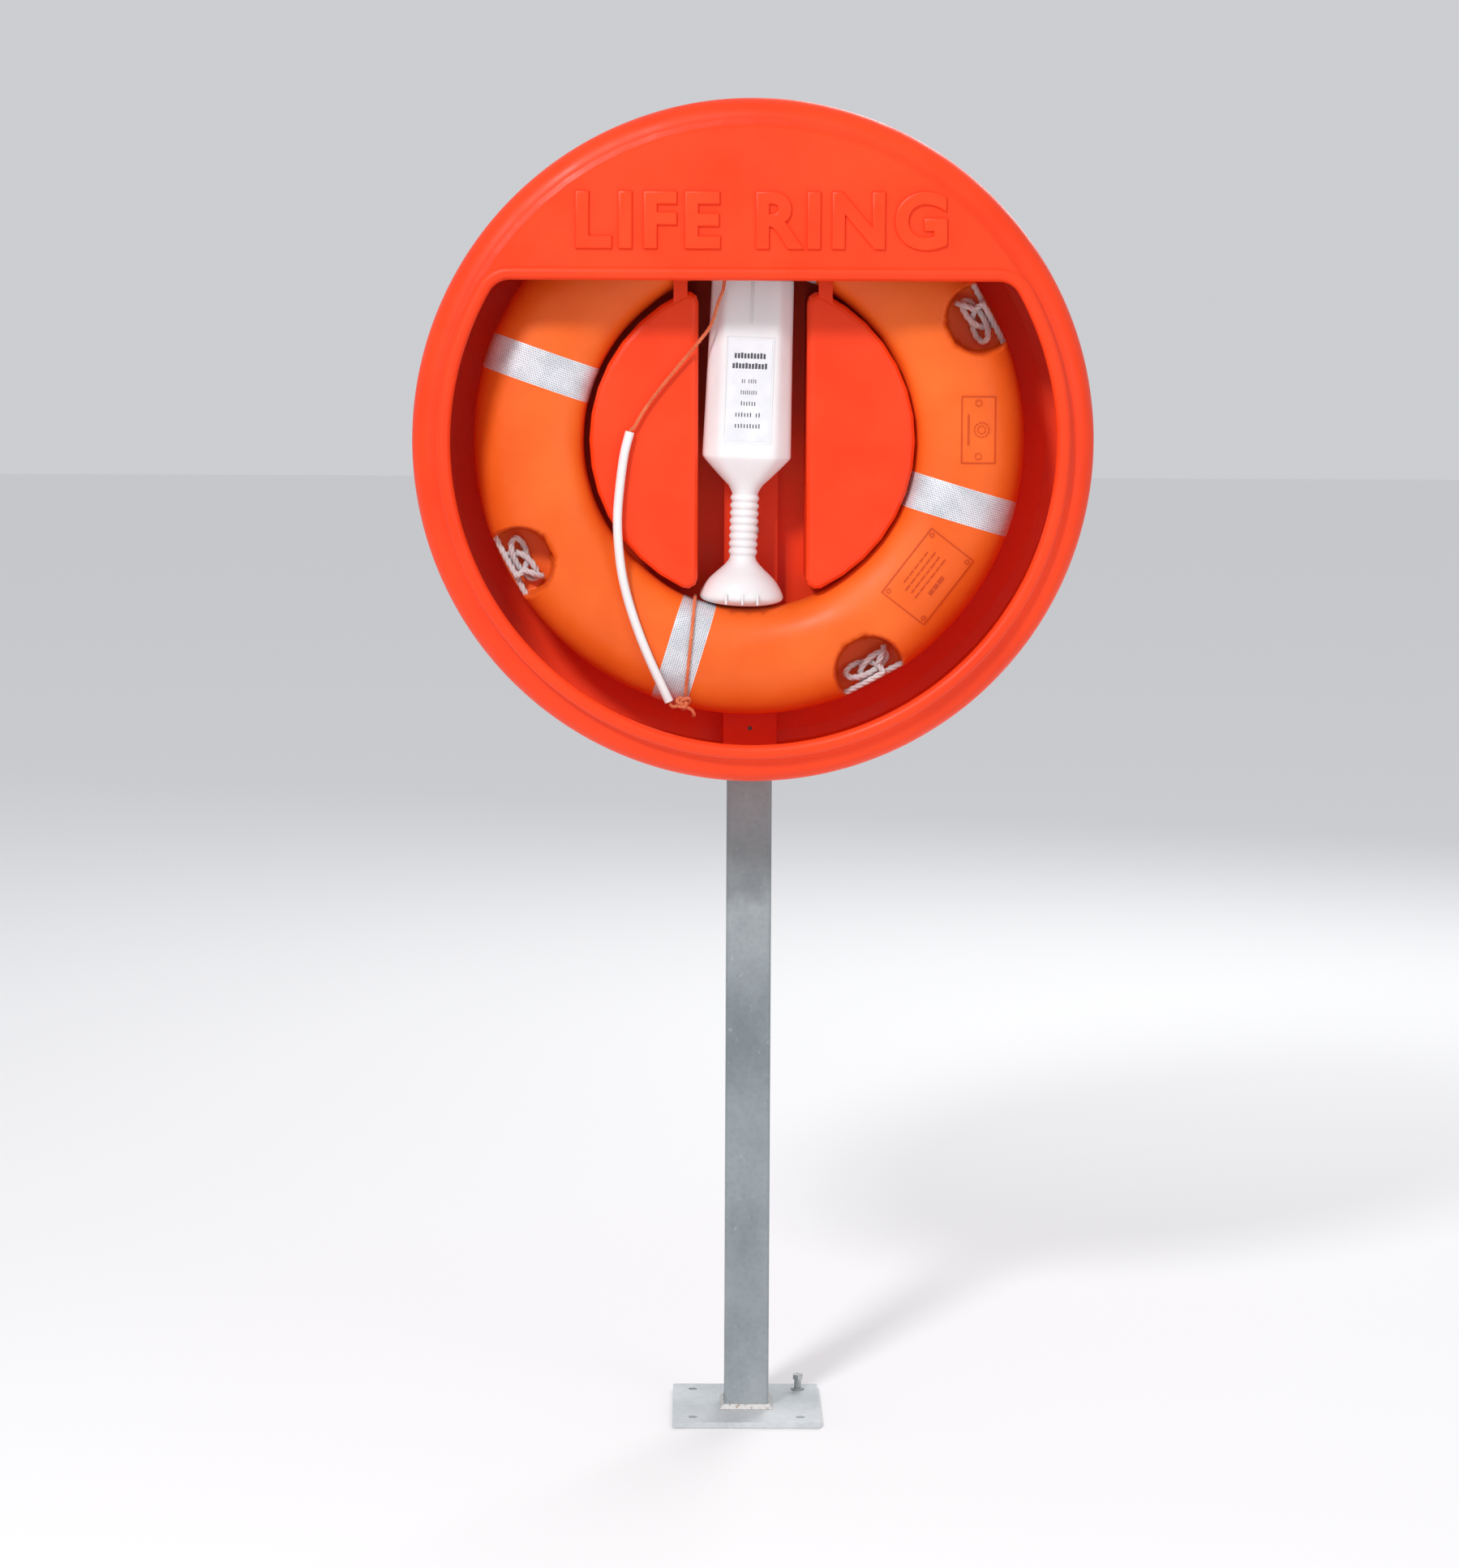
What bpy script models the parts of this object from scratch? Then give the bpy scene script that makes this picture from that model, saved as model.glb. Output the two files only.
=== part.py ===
"""Lifebuoy station: a ring lifebuoy in a moulded housing on a steel post.

Metres, +Z up. The origin is the centre of the base plate's underside, the
housing faces -Y and +X is to its right. Round parts of the housing and the
ring are drawn in a front frame, whose local X is world X, local Y is world Z
and local Z points out of the housing's mouth, towards -Y.
"""
import math

import bmesh
import bpy
from mathutils import Matrix, Vector

# ---- driving dimensions ---------------------------------------------------
GAP = 0.0003                 # clearance left between touching pieces
AXIS_Z = 1.324               # height of the housing's centre

PLATE_SIDE = 0.200
PLATE_THICK = 0.008
PLATE_HOLE_AT = 0.0725
PLATE_HOLE_RADIUS = 0.0060
POST_HALF = 0.030
POST_WALL = 0.003
POST_CORNER = 0.005
POST_TOP = AXIS_Z + 0.285

DRUM_RADIUS = 0.437
DRUM_DEPTH = 0.236
DRUM_STEPS = 60
WALL = 0.005
MOUTH_RADIUS = 0.396         # centre line of the lip's bead
MOUTH_CHORD = 0.2155         # height of the hood's lower edge, same line
MOUTH_CORNER = 0.038
BEAD_RADIUS = 0.008
BOSS_RADIUS = 0.212
BOSS_CHORD = 0.0705
BOSS_HEIGHT = 0.130
BOSS_EDGE = 0.009
RIB_HALF = 0.0355
RIB_HEIGHT = 0.0345
NECK_AT = 0.094
NECK_HALF = 0.009

RING_X = -0.004              # the ring hangs a little to the left
RING_DEPTH = 0.0905          # its middle plane, in front of the housing's back
RING_RADIUS = 0.290          # middle of the section
RING_HALF_WIDTH = 0.070
RING_HALF_THICK = 0.0525
SECTION_POWER = 2.5
GROOVE_FLOOR = 0.3505
GROOVE_HALF = 0.0065
RING_STEPS = 52
POCKET_ANGLES = (28, 118, 208, 298)
POCKET_AT = 0.340
POCKET_RADIUS = 0.047
POCKET_FLOOR = -0.0105
TAPE_ANGLES = {"left": 161, "bottom": 253, "right": 343.5, "top": 73}
TAPE_WIDTH = 0.050
ROPE_RADIUS = 0.0044
ROPE_AT = 0.3567

HOLDER_X = -0.0065
HOLDER_DEPTH = 0.0925
HOLDER_LEAN = math.radians(1.83)
LINE_RADIUS = 0.0025
SLEEVE_RADIUS = 0.0060
SLEEVE_BORE = 0.0040

LIFEBUOY_PIVOT = (0.0, -0.002, AXIS_Z + 0.310)
HOLDER_PIVOT = (0.0, -0.088, AXIS_Z + 0.2085)

FIXING_HEIGHTS = {"upper": 0.120, "lower": -0.120}
BOLT_RADIUS = 0.0050
WASHER_RADIUS = 0.0105
WASHER_THICK = 0.0020


# ---- scene helpers --------------------------------------------------------
def clear_scene():
    for obj in list(bpy.data.objects):
        bpy.data.objects.remove(obj, do_unlink=True)


def new_collection(name):
    made = bpy.data.collections.new(name)
    bpy.context.scene.collection.children.link(made)
    return made


def make_material(name, colour, roughness, metallic=0.0):
    made = bpy.data.materials.new(name)
    made.use_nodes = True
    shader = made.node_tree.nodes["Principled BSDF"]
    shader.inputs["Base Color"].default_value = (*colour, 1.0)
    shader.inputs["Roughness"].default_value = roughness
    shader.inputs["Metallic"].default_value = metallic
    made.diffuse_color = (*colour, 1.0)
    return made


def place(name, data, finish=None):
    """Link a new object; without a finish it is a cutter."""
    obj = bpy.data.objects.new(name, data)
    if finish is None:
        CUTTERS.objects.link(obj)
        obj.hide_render = True
        obj.display_type = "WIRE"
    else:
        PARTS.objects.link(obj)
        data.materials.append(finish)
    return obj


def face_front(obj, x=0.0):
    """Stand a front-frame object up in the housing."""
    obj.rotation_euler = (math.radians(90), 0, 0)
    obj.location = (x, 0, AXIS_Z)
    return obj


def combine(target, tool, operation):
    step = target.modifiers.new(f"{operation.lower()} {tool.name}", "BOOLEAN")
    step.operation = operation
    step.solver = "EXACT"
    step.object = tool


def cut(target, *tools):
    for tool in tools:
        combine(target, tool, "DIFFERENCE")


def fuse(target, *tools):
    for tool in tools:
        combine(target, tool, "UNION")


def mesh_from_curve(name, curve, finish=None):
    """Turn a filled curve into a welded mesh object."""
    drawn = bpy.data.objects.new(f"{name} curve", curve)
    bpy.context.scene.collection.objects.link(drawn)
    bpy.context.view_layer.update()
    graph = bpy.context.evaluated_depsgraph_get()
    mesh = bpy.data.meshes.new_from_object(drawn.evaluated_get(graph))
    bpy.data.objects.remove(drawn, do_unlink=True)
    shape = bmesh.new()
    shape.from_mesh(mesh)
    bmesh.ops.remove_doubles(shape, verts=shape.verts, dist=1e-6)
    bmesh.ops.dissolve_limit(
        shape, angle_limit=0.001, verts=shape.verts, edges=shape.edges)
    bmesh.ops.recalc_face_normals(shape, faces=shape.faces)
    shape.to_mesh(mesh)
    shape.free()
    return place(name, mesh, finish)


def add_spline(curve, points, cyclic):
    spline = curve.splines.new("POLY")
    spline.points.add(len(points) - 1)
    for slot, point in zip(spline.points, points):
        slot.co = (*point, 1.0)
    spline.use_cyclic_u = cyclic


def slab(name, outlines, low, high, finish=None):
    """A flat outline, with any holes in it, between two heights on local Z."""
    curve = bpy.data.curves.new(name, "CURVE")
    curve.dimensions = "2D"
    curve.fill_mode = "BOTH"
    curve.extrude = (high - low) / 2
    for outline in outlines:
        add_spline(curve, [(x, y, 0.0) for x, y in outline], True)
    made = mesh_from_curve(name, curve, finish)
    made.data.transform(Matrix.Translation((0, 0, (high + low) / 2)))
    return made


def tube(name, points, radius, finish=None, cyclic=False, resolution=2):
    """A round bar along a route."""
    curve = bpy.data.curves.new(name, "CURVE")
    curve.dimensions = "3D"
    curve.bevel_depth = radius
    curve.bevel_resolution = resolution
    curve.use_fill_caps = True
    add_spline(curve, points, cyclic)
    return mesh_from_curve(name, curve, finish)


def turned(name, profile, steps, finish=None, closed=False):
    """A profile of (radius, height) points turned about local Z."""
    mesh = bpy.data.meshes.new(name)
    links = [(i, i + 1) for i in range(len(profile) - 1)]
    if closed:
        links.append((len(profile) - 1, 0))
    mesh.from_pydata([(r, 0.0, h) for r, h in profile], links, [])
    made = place(name, mesh, finish)
    turn = made.modifiers.new("turn", "SCREW")
    turn.steps = steps
    turn.render_steps = steps
    turn.use_merge_vertices = True
    turn.merge_threshold = 0.00001
    return made


def bar(name, low, high, finish=None):
    """A box between two corners."""
    shape = bmesh.new()
    bmesh.ops.create_cube(shape, size=1.0)
    size = [b - a for a, b in zip(low, high)]
    middle = [(a + b) / 2 for a, b in zip(low, high)]
    bmesh.ops.scale(shape, vec=size, verts=shape.verts)
    bmesh.ops.translate(shape, vec=middle, verts=shape.verts)
    mesh = bpy.data.meshes.new(name)
    shape.to_mesh(mesh)
    shape.free()
    return place(name, mesh, finish)


def rod(name, radius, low, high, finish=None, sides=24, turn=0.0):
    """A cylinder on local Z between two heights."""
    shape = bmesh.new()
    bmesh.ops.create_cone(
        shape, cap_ends=True, segments=sides, radius1=radius, radius2=radius,
        depth=high - low)
    bmesh.ops.rotate(shape, matrix=Matrix.Rotation(turn, 3, "Z"), verts=shape.verts)
    bmesh.ops.translate(shape, vec=(0, 0, (high + low) / 2), verts=shape.verts)
    mesh = bpy.data.meshes.new(name)
    shape.to_mesh(mesh)
    shape.free()
    return place(name, mesh, finish)


def round_end(obj, height, radius, segments=3):
    """Round the edges of the flat end at one height."""
    shape = bmesh.new()
    shape.from_mesh(obj.data)
    rim = [e for e in shape.edges
           if all(abs(v.co.z - height) < 1e-6 for v in e.verts)]
    bmesh.ops.bevel(
        shape, geom=rim, offset=radius, segments=segments, profile=0.5,
        affect="EDGES", clamp_overlap=True)
    shape.to_mesh(obj.data)
    shape.free()


def loft(name, sections, finish=None):
    """Skin a list of (height, outline) sections, top first, on local Z."""
    shape = bmesh.new()
    rings = [[shape.verts.new((x, y, height)) for x, y in outline]
             for height, outline in sections]
    for upper, lower in zip(rings, rings[1:]):
        for i in range(len(upper)):
            j = (i + 1) % len(upper)
            shape.faces.new((upper[i], upper[j], lower[j], lower[i]))
    shape.faces.new(rings[0])
    shape.faces.new(rings[-1])
    bmesh.ops.recalc_face_normals(shape, faces=shape.faces)
    mesh = bpy.data.meshes.new(name)
    shape.to_mesh(mesh)
    shape.free()
    return place(name, mesh, finish)


def hang_on(pivot, *pieces):
    """Parent pieces to a pivot empty without moving them."""
    bpy.context.view_layer.update()
    for piece in pieces:
        piece.parent = pivot
        piece.matrix_parent_inverse = pivot.matrix_world.inverted()


def make_pivot(name, at):
    pivot = bpy.data.objects.new(name, None)
    pivot.location = at
    PARTS.objects.link(pivot)
    return pivot


# ---- outlines -------------------------------------------------------------
def arc(centre, radius, start, end, count):
    """Points along an arc, angles in degrees, both ends included."""
    angles = [math.radians(start + (end - start) * i / count)
              for i in range(count + 1)]
    return [(centre[0] + radius * math.cos(a), centre[1] + radius * math.sin(a))
            for a in angles]


def cut_circle(radius, chord, fillet, arc_count, fillet_count):
    """The part of a circle beyond x = chord, with rounded corners."""
    x = chord + fillet
    y = math.sqrt((radius - fillet) ** 2 - x ** 2)
    tangent = math.degrees(math.atan2(y, x))
    lower = arc((x, -y), fillet, 180, 360 - tangent, fillet_count)
    around = arc((0, 0), radius, -tangent, tangent, arc_count)
    upper = arc((x, y), fillet, tangent, 180, fillet_count)
    return lower[:-1] + around + upper[1:]


def turn_outline(points, degrees):
    c, s = math.cos(math.radians(degrees)), math.sin(math.radians(degrees))
    return [(c * x - s * y, s * x + c * y) for x, y in points]


def rounded_square(half, corner, count=4):
    inner = half - corner
    points = []
    for i, (sx, sy) in enumerate(((1, 1), (-1, 1), (-1, -1), (1, -1))):
        points += arc((sx * inner, sy * inner), corner, 90 * i, 90 * i + 90, count)
    return points


def section_point(angle, half_width, half_thick):
    c, s = math.cos(angle), math.sin(angle)
    power = 2 / SECTION_POWER
    return (half_width * math.copysign(abs(c) ** power, c),
            half_thick * math.copysign(abs(s) ** power, s))


def ring_section(grow=0.0, count=20):
    """The ring's section, clockwise from its front, with the rope groove."""
    points = []
    for i in range(count):
        angle = math.pi / 2 - 2 * math.pi * i / count
        across, along = section_point(
            angle, RING_HALF_WIDTH + grow, RING_HALF_THICK + grow)
        if across > 0 and abs(along) < GROOVE_HALF + 0.004:
            continue
        points.append((RING_RADIUS + across, along))
    rim = RING_RADIUS + RING_HALF_WIDTH + grow - 0.0003
    half = GROOVE_HALF - grow
    groove = [(rim, half + 0.003), (GROOVE_FLOOR + grow, half),
              (GROOVE_FLOOR + grow, -half), (rim, -half - 0.003)]
    front = [p for i, p in enumerate(points) if p[1] > 0 and p[0] >= RING_RADIUS - 1e-9]
    rest = points[len(front):]
    return front + groove + rest


def plain_section(centre, half_width, half_thick, count):
    points = []
    for i in range(count):
        angle = math.pi / 2 - 2 * math.pi * i / count
        across, along = section_point(angle, half_width, half_thick)
        points.append((centre + across, along))
    return points


def smooth_route(route, spacing):
    """Evenly spaced points on a smooth curve through a hand-chosen route."""
    knots = [Vector(p) for p in route]
    knots = [2 * knots[0] - knots[1]] + knots + [2 * knots[-1] - knots[-2]]
    dense = []
    for a, b, c, d in zip(knots, knots[1:], knots[2:], knots[3:]):
        for i in range(12):
            t = i / 12
            dense.append(0.5 * ((2 * b) + (c - a) * t
                         + (2 * a - 5 * b + 4 * c - d) * t * t
                         + (3 * b - a - 3 * c + d) * t ** 3))
    dense.append(knots[-2])
    picked = [dense[0]]
    for point in dense[1:-1]:
        if (point - picked[-1]).length >= spacing:
            picked.append(point)
    if (dense[-1] - picked[-1]).length < spacing / 2:
        picked.pop()
    picked.append(dense[-1])
    return [tuple(p) for p in picked]


# ---- post and foot --------------------------------------------------------
def make_base_plate(steel):
    plate = slab("base_plate", [rounded_square(PLATE_SIDE / 2, 0.003, 2)],
                 0.0, PLATE_THICK, steel)
    for i, (sx, sy) in enumerate(((1, 1), (-1, 1), (-1, -1), (1, -1))):
        hole = rod(f"plate hole {i}", PLATE_HOLE_RADIUS, -0.01, PLATE_THICK + 0.01)
        hole.location = (sx * PLATE_HOLE_AT, sy * PLATE_HOLE_AT, 0)
        cut(plate, hole)


def make_post(steel):
    bore = POST_HALF - POST_WALL
    post = slab("post", [rounded_square(POST_HALF, POST_CORNER),
                         rounded_square(bore, POST_CORNER - POST_WALL)],
                PLATE_THICK + GAP, POST_TOP, steel)
    for name, height in FIXING_HEIGHTS.items():
        hole = rod(f"post hole {name}", BOLT_RADIUS + 0.0005, -0.05, 0.05)
        face_front(hole)
        hole.location.z = AXIS_Z + height
        cut(post, hole)


def make_post_cap(plastic):
    top = POST_TOP + GAP
    inside = POST_HALF - POST_WALL - GAP
    cap = slab("post_cap", [rounded_square(POST_HALF, POST_CORNER)],
               top, top + 0.0025, plastic)
    plug = slab("cap plug", [rounded_square(inside, 0.0017)], top - 0.015, top + 0.001)
    fuse(cap, plug)


def make_foot_weld(steel):
    """A fillet of weld metal round the post's foot."""
    low = PLATE_THICK + GAP
    leg = 0.006
    shape = bmesh.new()
    root_two = math.sqrt(2)
    bmesh.ops.create_cone(
        shape, cap_ends=True, segments=4, radius1=(POST_HALF + leg) * root_two,
        radius2=(POST_HALF + 0.0008) * root_two, depth=leg)
    bmesh.ops.rotate(shape, matrix=Matrix.Rotation(math.pi / 4, 3, "Z"), verts=shape.verts)
    bmesh.ops.translate(shape, vec=(0, 0, low + leg / 2), verts=shape.verts)
    mesh = bpy.data.meshes.new("foot_weld")
    shape.to_mesh(mesh)
    shape.free()
    weld = place("foot_weld", mesh, steel)
    foot = slab("weld bore", [rounded_square(POST_HALF + GAP, POST_CORNER)], 0.0, 0.03)
    cut(weld, foot)


def make_anchor(steel):
    """The one anchor still in the plate: its head stands clear of it."""
    at = (PLATE_HOLE_AT, PLATE_HOLE_AT, 0)
    washer_top = PLATE_THICK + GAP + WASHER_THICK
    washer = rod("anchor_washer", 0.0090, PLATE_THICK + GAP, washer_top, steel)
    washer_bore = rod("anchor washer bore", 0.0054, 0.0, 0.03)
    sleeve = rod("anchor_sleeve", 0.0050, 0.0, 0.0225, steel, sides=16)
    sleeve_bore = rod("anchor sleeve bore", 0.0043, -0.01, 0.03, sides=16)
    bolt = rod("anchor_bolt", 0.0040, 0.0, 0.0240, steel, sides=16)
    head = rod("anchor head", 0.0075, 0.0228, 0.0290, sides=6)
    for piece in (washer, washer_bore, sleeve, sleeve_bore, bolt, head):
        piece.location = at
    cut(washer, washer_bore)
    cut(sleeve, sleeve_bore)
    fuse(bolt, head)


def make_fixings(steel):
    """Two bolts through the housing's rib and the post, heads inside."""
    washer_at = RIB_HEIGHT + GAP
    head_at = washer_at + WASHER_THICK + GAP
    rear = -(POST_HALF + GAP)
    nut_at = rear - WASHER_THICK - GAP
    for name, height in FIXING_HEIGHTS.items():
        bolt = rod(f"fixing_bolt_{name}", BOLT_RADIUS, -0.0475, head_at + 0.001, steel,
                   sides=16)
        head = rod(f"bolt head {name}", 0.0098, head_at, head_at + 0.0064, sides=6)
        front = rod(f"fixing_washer_front_{name}", WASHER_RADIUS,
                    washer_at, washer_at + WASHER_THICK, steel)
        back = rod(f"fixing_washer_rear_{name}", WASHER_RADIUS,
                   rear - WASHER_THICK, rear, steel)
        nut = rod(f"fixing_nut_{name}", 0.0098, nut_at - 0.008, nut_at, steel, sides=6)
        bore = rod(f"fixing bore {name}", BOLT_RADIUS + GAP, -0.06, 0.06, sides=16)
        for piece in (bolt, head, front, back, nut, bore):
            face_front(piece)
            piece.location.z = AXIS_Z + height
        fuse(bolt, head)
        for piece in (front, back, nut):
            cut(piece, bore)


# ---- housing --------------------------------------------------------------
def drum_profile(inset):
    """Half section of the drum, from the front's centre round to the back's."""
    front = DRUM_DEPTH - inset
    face = 0.4035 - inset * 0.6
    side = DRUM_RADIUS - inset
    shoulder = [(side - 0.028 + 0.028 * math.sin(a), 0.1925 + (0.028 - inset) * math.cos(a))
                for a in [math.radians(d) for d in (8, 30, 50, 70, 90)]]
    heel = 0.045 - inset
    corner = [(side - heel + heel * math.cos(a), inset + heel - heel * math.sin(a))
              for a in [math.radians(d) for d in (0, 22.5, 45, 67.5, 90)]]
    groove = front - 0.0125 if inset == 0 else front - 0.0150
    return ([(0.0, front), (face - 0.005, front), (face, front - 0.004), (face, groove)]
            + shoulder + corner + [(0.0, inset)])


def boss_outline(side, inset):
    outline = cut_circle(BOSS_RADIUS - inset, BOSS_CHORD + inset, 0.014 - inset, 14, 3)
    return turn_outline(outline, 0 if side > 0 else 180)


def make_housing(plastic):
    housing = face_front(turned("housing", drum_profile(0.0), DRUM_STEPS, plastic))
    cavity = face_front(turned("housing cavity", drum_profile(WALL), DRUM_STEPS))
    cut(housing, cavity)

    mouth_line = turn_outline(
        cut_circle(MOUTH_RADIUS, -MOUTH_CHORD, MOUTH_CORNER, 46, 4), -90)
    mouth = face_front(slab("mouth", [mouth_line], 0.200, 0.260))
    cut(housing, mouth)
    bead_line = [(x, y, DRUM_DEPTH - BEAD_RADIUS + 0.0004) for x, y in mouth_line]
    fuse(housing, face_front(tube("lip bead", bead_line, BEAD_RADIUS, cyclic=True)))

    envelope = face_front(turned("rib envelope", drum_profile(0.001), DRUM_STEPS))
    rib = face_front(bar("post rib", (-RIB_HALF, -0.45, 0.0005),
                         (RIB_HALF, 0.300, RIB_HEIGHT)))
    combine(rib, envelope, "INTERSECT")
    fuse(housing, rib)

    for side in (-1, 1):
        boss = slab(f"boss {side}", [boss_outline(side, 0.0)], 0.001, BOSS_HEIGHT)
        round_end(boss, BOSS_HEIGHT, BOSS_EDGE)
        fuse(housing, face_front(boss))
        hollow = slab(f"boss hollow {side}", [boss_outline(side, WALL)],
                      -0.01, BOSS_HEIGHT - WALL)
        round_end(hollow, BOSS_HEIGHT - WALL, BOSS_EDGE - 0.004)
        cut(housing, face_front(hollow))
        fuse(housing, make_neck(side))

    slot = bar("post slot", (-POST_HALF - 0.001, -0.46, -0.02),
               (POST_HALF + 0.001, 0.295, POST_HALF + GAP))
    cut(housing, face_front(slot))
    for name, height in FIXING_HEIGHTS.items():
        hole = face_front(rod(f"rib hole {name}", 0.0055, 0.02, 0.05))
        hole.location.z = AXIS_Z + height
        cut(housing, hole)
    spare = face_front(rod("spare hole", 0.0030, 0.02, 0.05, sides=12))
    spare.location.z = AXIS_Z - 0.385
    cut(housing, spare)


def make_neck(side):
    """The lug on top of a boss that the ring hangs on, hooked at its front."""
    profile = [(0.150, 0.003), (0.150, 0.1295), (0.2082, 0.1295), (0.2025, 0.1245),
               (0.1962, 0.1165), (0.1930, 0.1085), (0.1910, 0.0990), (0.1910, 0.003)]
    lug = slab(f"neck {side}", [profile], -NECK_HALF, NECK_HALF)
    # its outline is drawn as (height, depth): turn that to face across the housing
    lug.data.transform(Matrix(((0, 0, 1, side * NECK_AT), (1, 0, 0, 0),
                               (0, 1, 0, 0), (0, 0, 0, 1))))
    return face_front(lug)


# ---- ring -----------------------------------------------------------------
def ring_spot(radius, degrees, along=0.0):
    """World position of a point given in the ring's own polar frame."""
    a = math.radians(degrees)
    return Vector((RING_X + radius * math.cos(a), -(RING_DEPTH + along),
                   AXIS_Z + radius * math.sin(a)))


def seat_ring(obj):
    face_front(obj, RING_X)
    obj.location.y = -RING_DEPTH
    return obj


def pocket_cutters(label, grow):
    """Round pockets in the rim where the grab line is knotted."""
    made = []
    for degrees in POCKET_ANGLES:
        cutter = rod(f"pocket {degrees} {label}", POCKET_RADIUS + grow,
                     POCKET_FLOOR - grow, 0.090, sides=24)
        a = math.radians(degrees)
        cutter.data.transform(Matrix.Translation(
            (POCKET_AT * math.cos(a), POCKET_AT * math.sin(a), 0)))
        made.append(seat_ring(cutter))
    return made


def make_ring(orange, foam, plug_plastic):
    shell = seat_ring(turned("ring_shell", ring_section(), RING_STEPS, orange, closed=True))
    inside = seat_ring(turned("shell inside", plain_section(0.2858, 0.0635, 0.0502, 12),
                              RING_STEPS, closed=True))
    cut(inside, *pocket_cutters("wall", 0.0025))
    cut(shell, inside, *pocket_cutters("open", 0.0))
    fill = rod("fill hole", 0.0120, -0.070, -0.040)
    fill.data.transform(Matrix.Translation((0, RING_RADIUS, 0)))
    cut(shell, seat_ring(fill))

    core = seat_ring(turned("foam_core", plain_section(0.2858, 0.0620, 0.0487, 12), RING_STEPS,
                            foam, closed=True))
    cut(core, *pocket_cutters("core", 0.0040))

    plug = rod("fill_plug", 0.0117, -0.0521, -0.0502, plug_plastic)
    plug.data.transform(Matrix.Translation((0, RING_RADIUS, 0)))
    return [shell, core, seat_ring(plug)]


def make_tape(name, degrees, silver):
    """A strip of reflective tape wrapped once round the ring's section."""
    tape = seat_ring(turned(f"tape_{name}", ring_section(0.0009), RING_STEPS, silver,
                            closed=True))
    under = seat_ring(turned(f"tape {name} under", ring_section(0.0004), RING_STEPS,
                             closed=True))
    keep = bar(f"tape {name} keep", (0.18, -TAPE_WIDTH / 2, -0.08),
               (0.40, TAPE_WIDTH / 2, 0.08))
    keep.data.transform(Matrix.Rotation(math.radians(degrees), 4, "Z"))
    combine(tape, seat_ring(keep), "INTERSECT")
    cut(tape, under)
    return tape


def make_grab_line(rope):
    """Four runs in the rim groove, and a knot in each pocket."""
    made = []
    names = ("upper_right", "upper_left", "lower_left", "lower_right")
    spare = 6.5
    for name, degrees in zip(names, POCKET_ANGLES):
        start, end = degrees + spare, degrees + 90 - spare
        run = [tuple(ring_spot(ROPE_AT, start + (end - start) * i / 14))
               for i in range(15)]
        made.append(tube(f"grab_line_{name}", run, ROPE_RADIUS, rope))
        shape = bmesh.new()
        bmesh.ops.create_uvsphere(shape, u_segments=12, v_segments=8, radius=1.0)
        mesh = bpy.data.meshes.new(f"knot_{name}")
        bmesh.ops.scale(shape, vec=(0.0150, 0.0155, 0.0395), verts=shape.verts)
        shape.to_mesh(mesh)
        shape.free()
        knot = place(f"knot_{name}", mesh, rope)
        knot.location = ring_spot(0.3435, degrees, 0.0065)
        knot.rotation_euler = (0, -math.radians(degrees), 0)
        made.append(knot)
    return made


# ---- line holder ----------------------------------------------------------
def holder_outline(half_width, half_depth, facets):
    """Sixteen points: an oval, or an eight-sided box section, or between."""
    flat = min(0.0355, half_width * 0.66)
    low = half_depth * 0.5
    quarter = [(0.0, half_depth), (flat, half_depth),
               ((flat + half_width) / 2, (half_depth + low) / 2), (half_width, low),
               (half_width, 0.0)]
    boxed = ([(x, -y) for x, y in quarter] + [(x, y) for x, y in quarter[-2::-1]]
             + [(-x, y) for x, y in quarter[1:]] + [(-x, -y) for x, y in quarter[-2:0:-1]])
    points = []
    for i, (x, y) in enumerate(boxed):
        a = -math.pi / 2 + 2 * math.pi * i / 16
        oval = (half_width * math.cos(a), half_depth * math.sin(a))
        points.append((facets * x + (1 - facets) * oval[0],
                       facets * y + (1 - facets) * oval[1]))
    return points


def holder_sections():
    """Bottle, ribbed grip and flared foot, from the top down."""
    sections = [(0.2085, 0.0535, 0.046, 1), (-0.021, 0.0580, 0.046, 1),
                (-0.026, 0.0560, 0.044, 0.8), (-0.062, 0.0205, 0.0195, 0),
                (-0.070, 0.0168, 0.0168, 0)]
    for rib in range(8):
        top = -0.0735 - 0.0095 * rib
        sections += [(top, 0.0190, 0.0190, 0), (top - 0.0048, 0.0166, 0.0166, 0)]
    sections += [(-0.1560, 0.0180, 0.0180, 0), (-0.1680, 0.0290, 0.0270, 0),
                 (-0.1800, 0.0430, 0.0380, 0), (-0.1900, 0.0500, 0.0430, 0),
                 (-0.1985, 0.0545, 0.0460, 0), (-0.2030, 0.0550, 0.0460, 0),
                 (-0.2075, 0.0500, 0.0420, 0), (-0.2120, 0.0380, 0.0330, 0),
                 (-0.2155, 0.0180, 0.0160, 0)]
    return [(z, holder_outline(a, b, f)) for z, a, b, f in sections]


def seat_holder(obj):
    obj.rotation_euler = (0, HOLDER_LEAN, 0)
    obj.location = (HOLDER_X, -HOLDER_DEPTH, AXIS_Z)
    return obj


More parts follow.
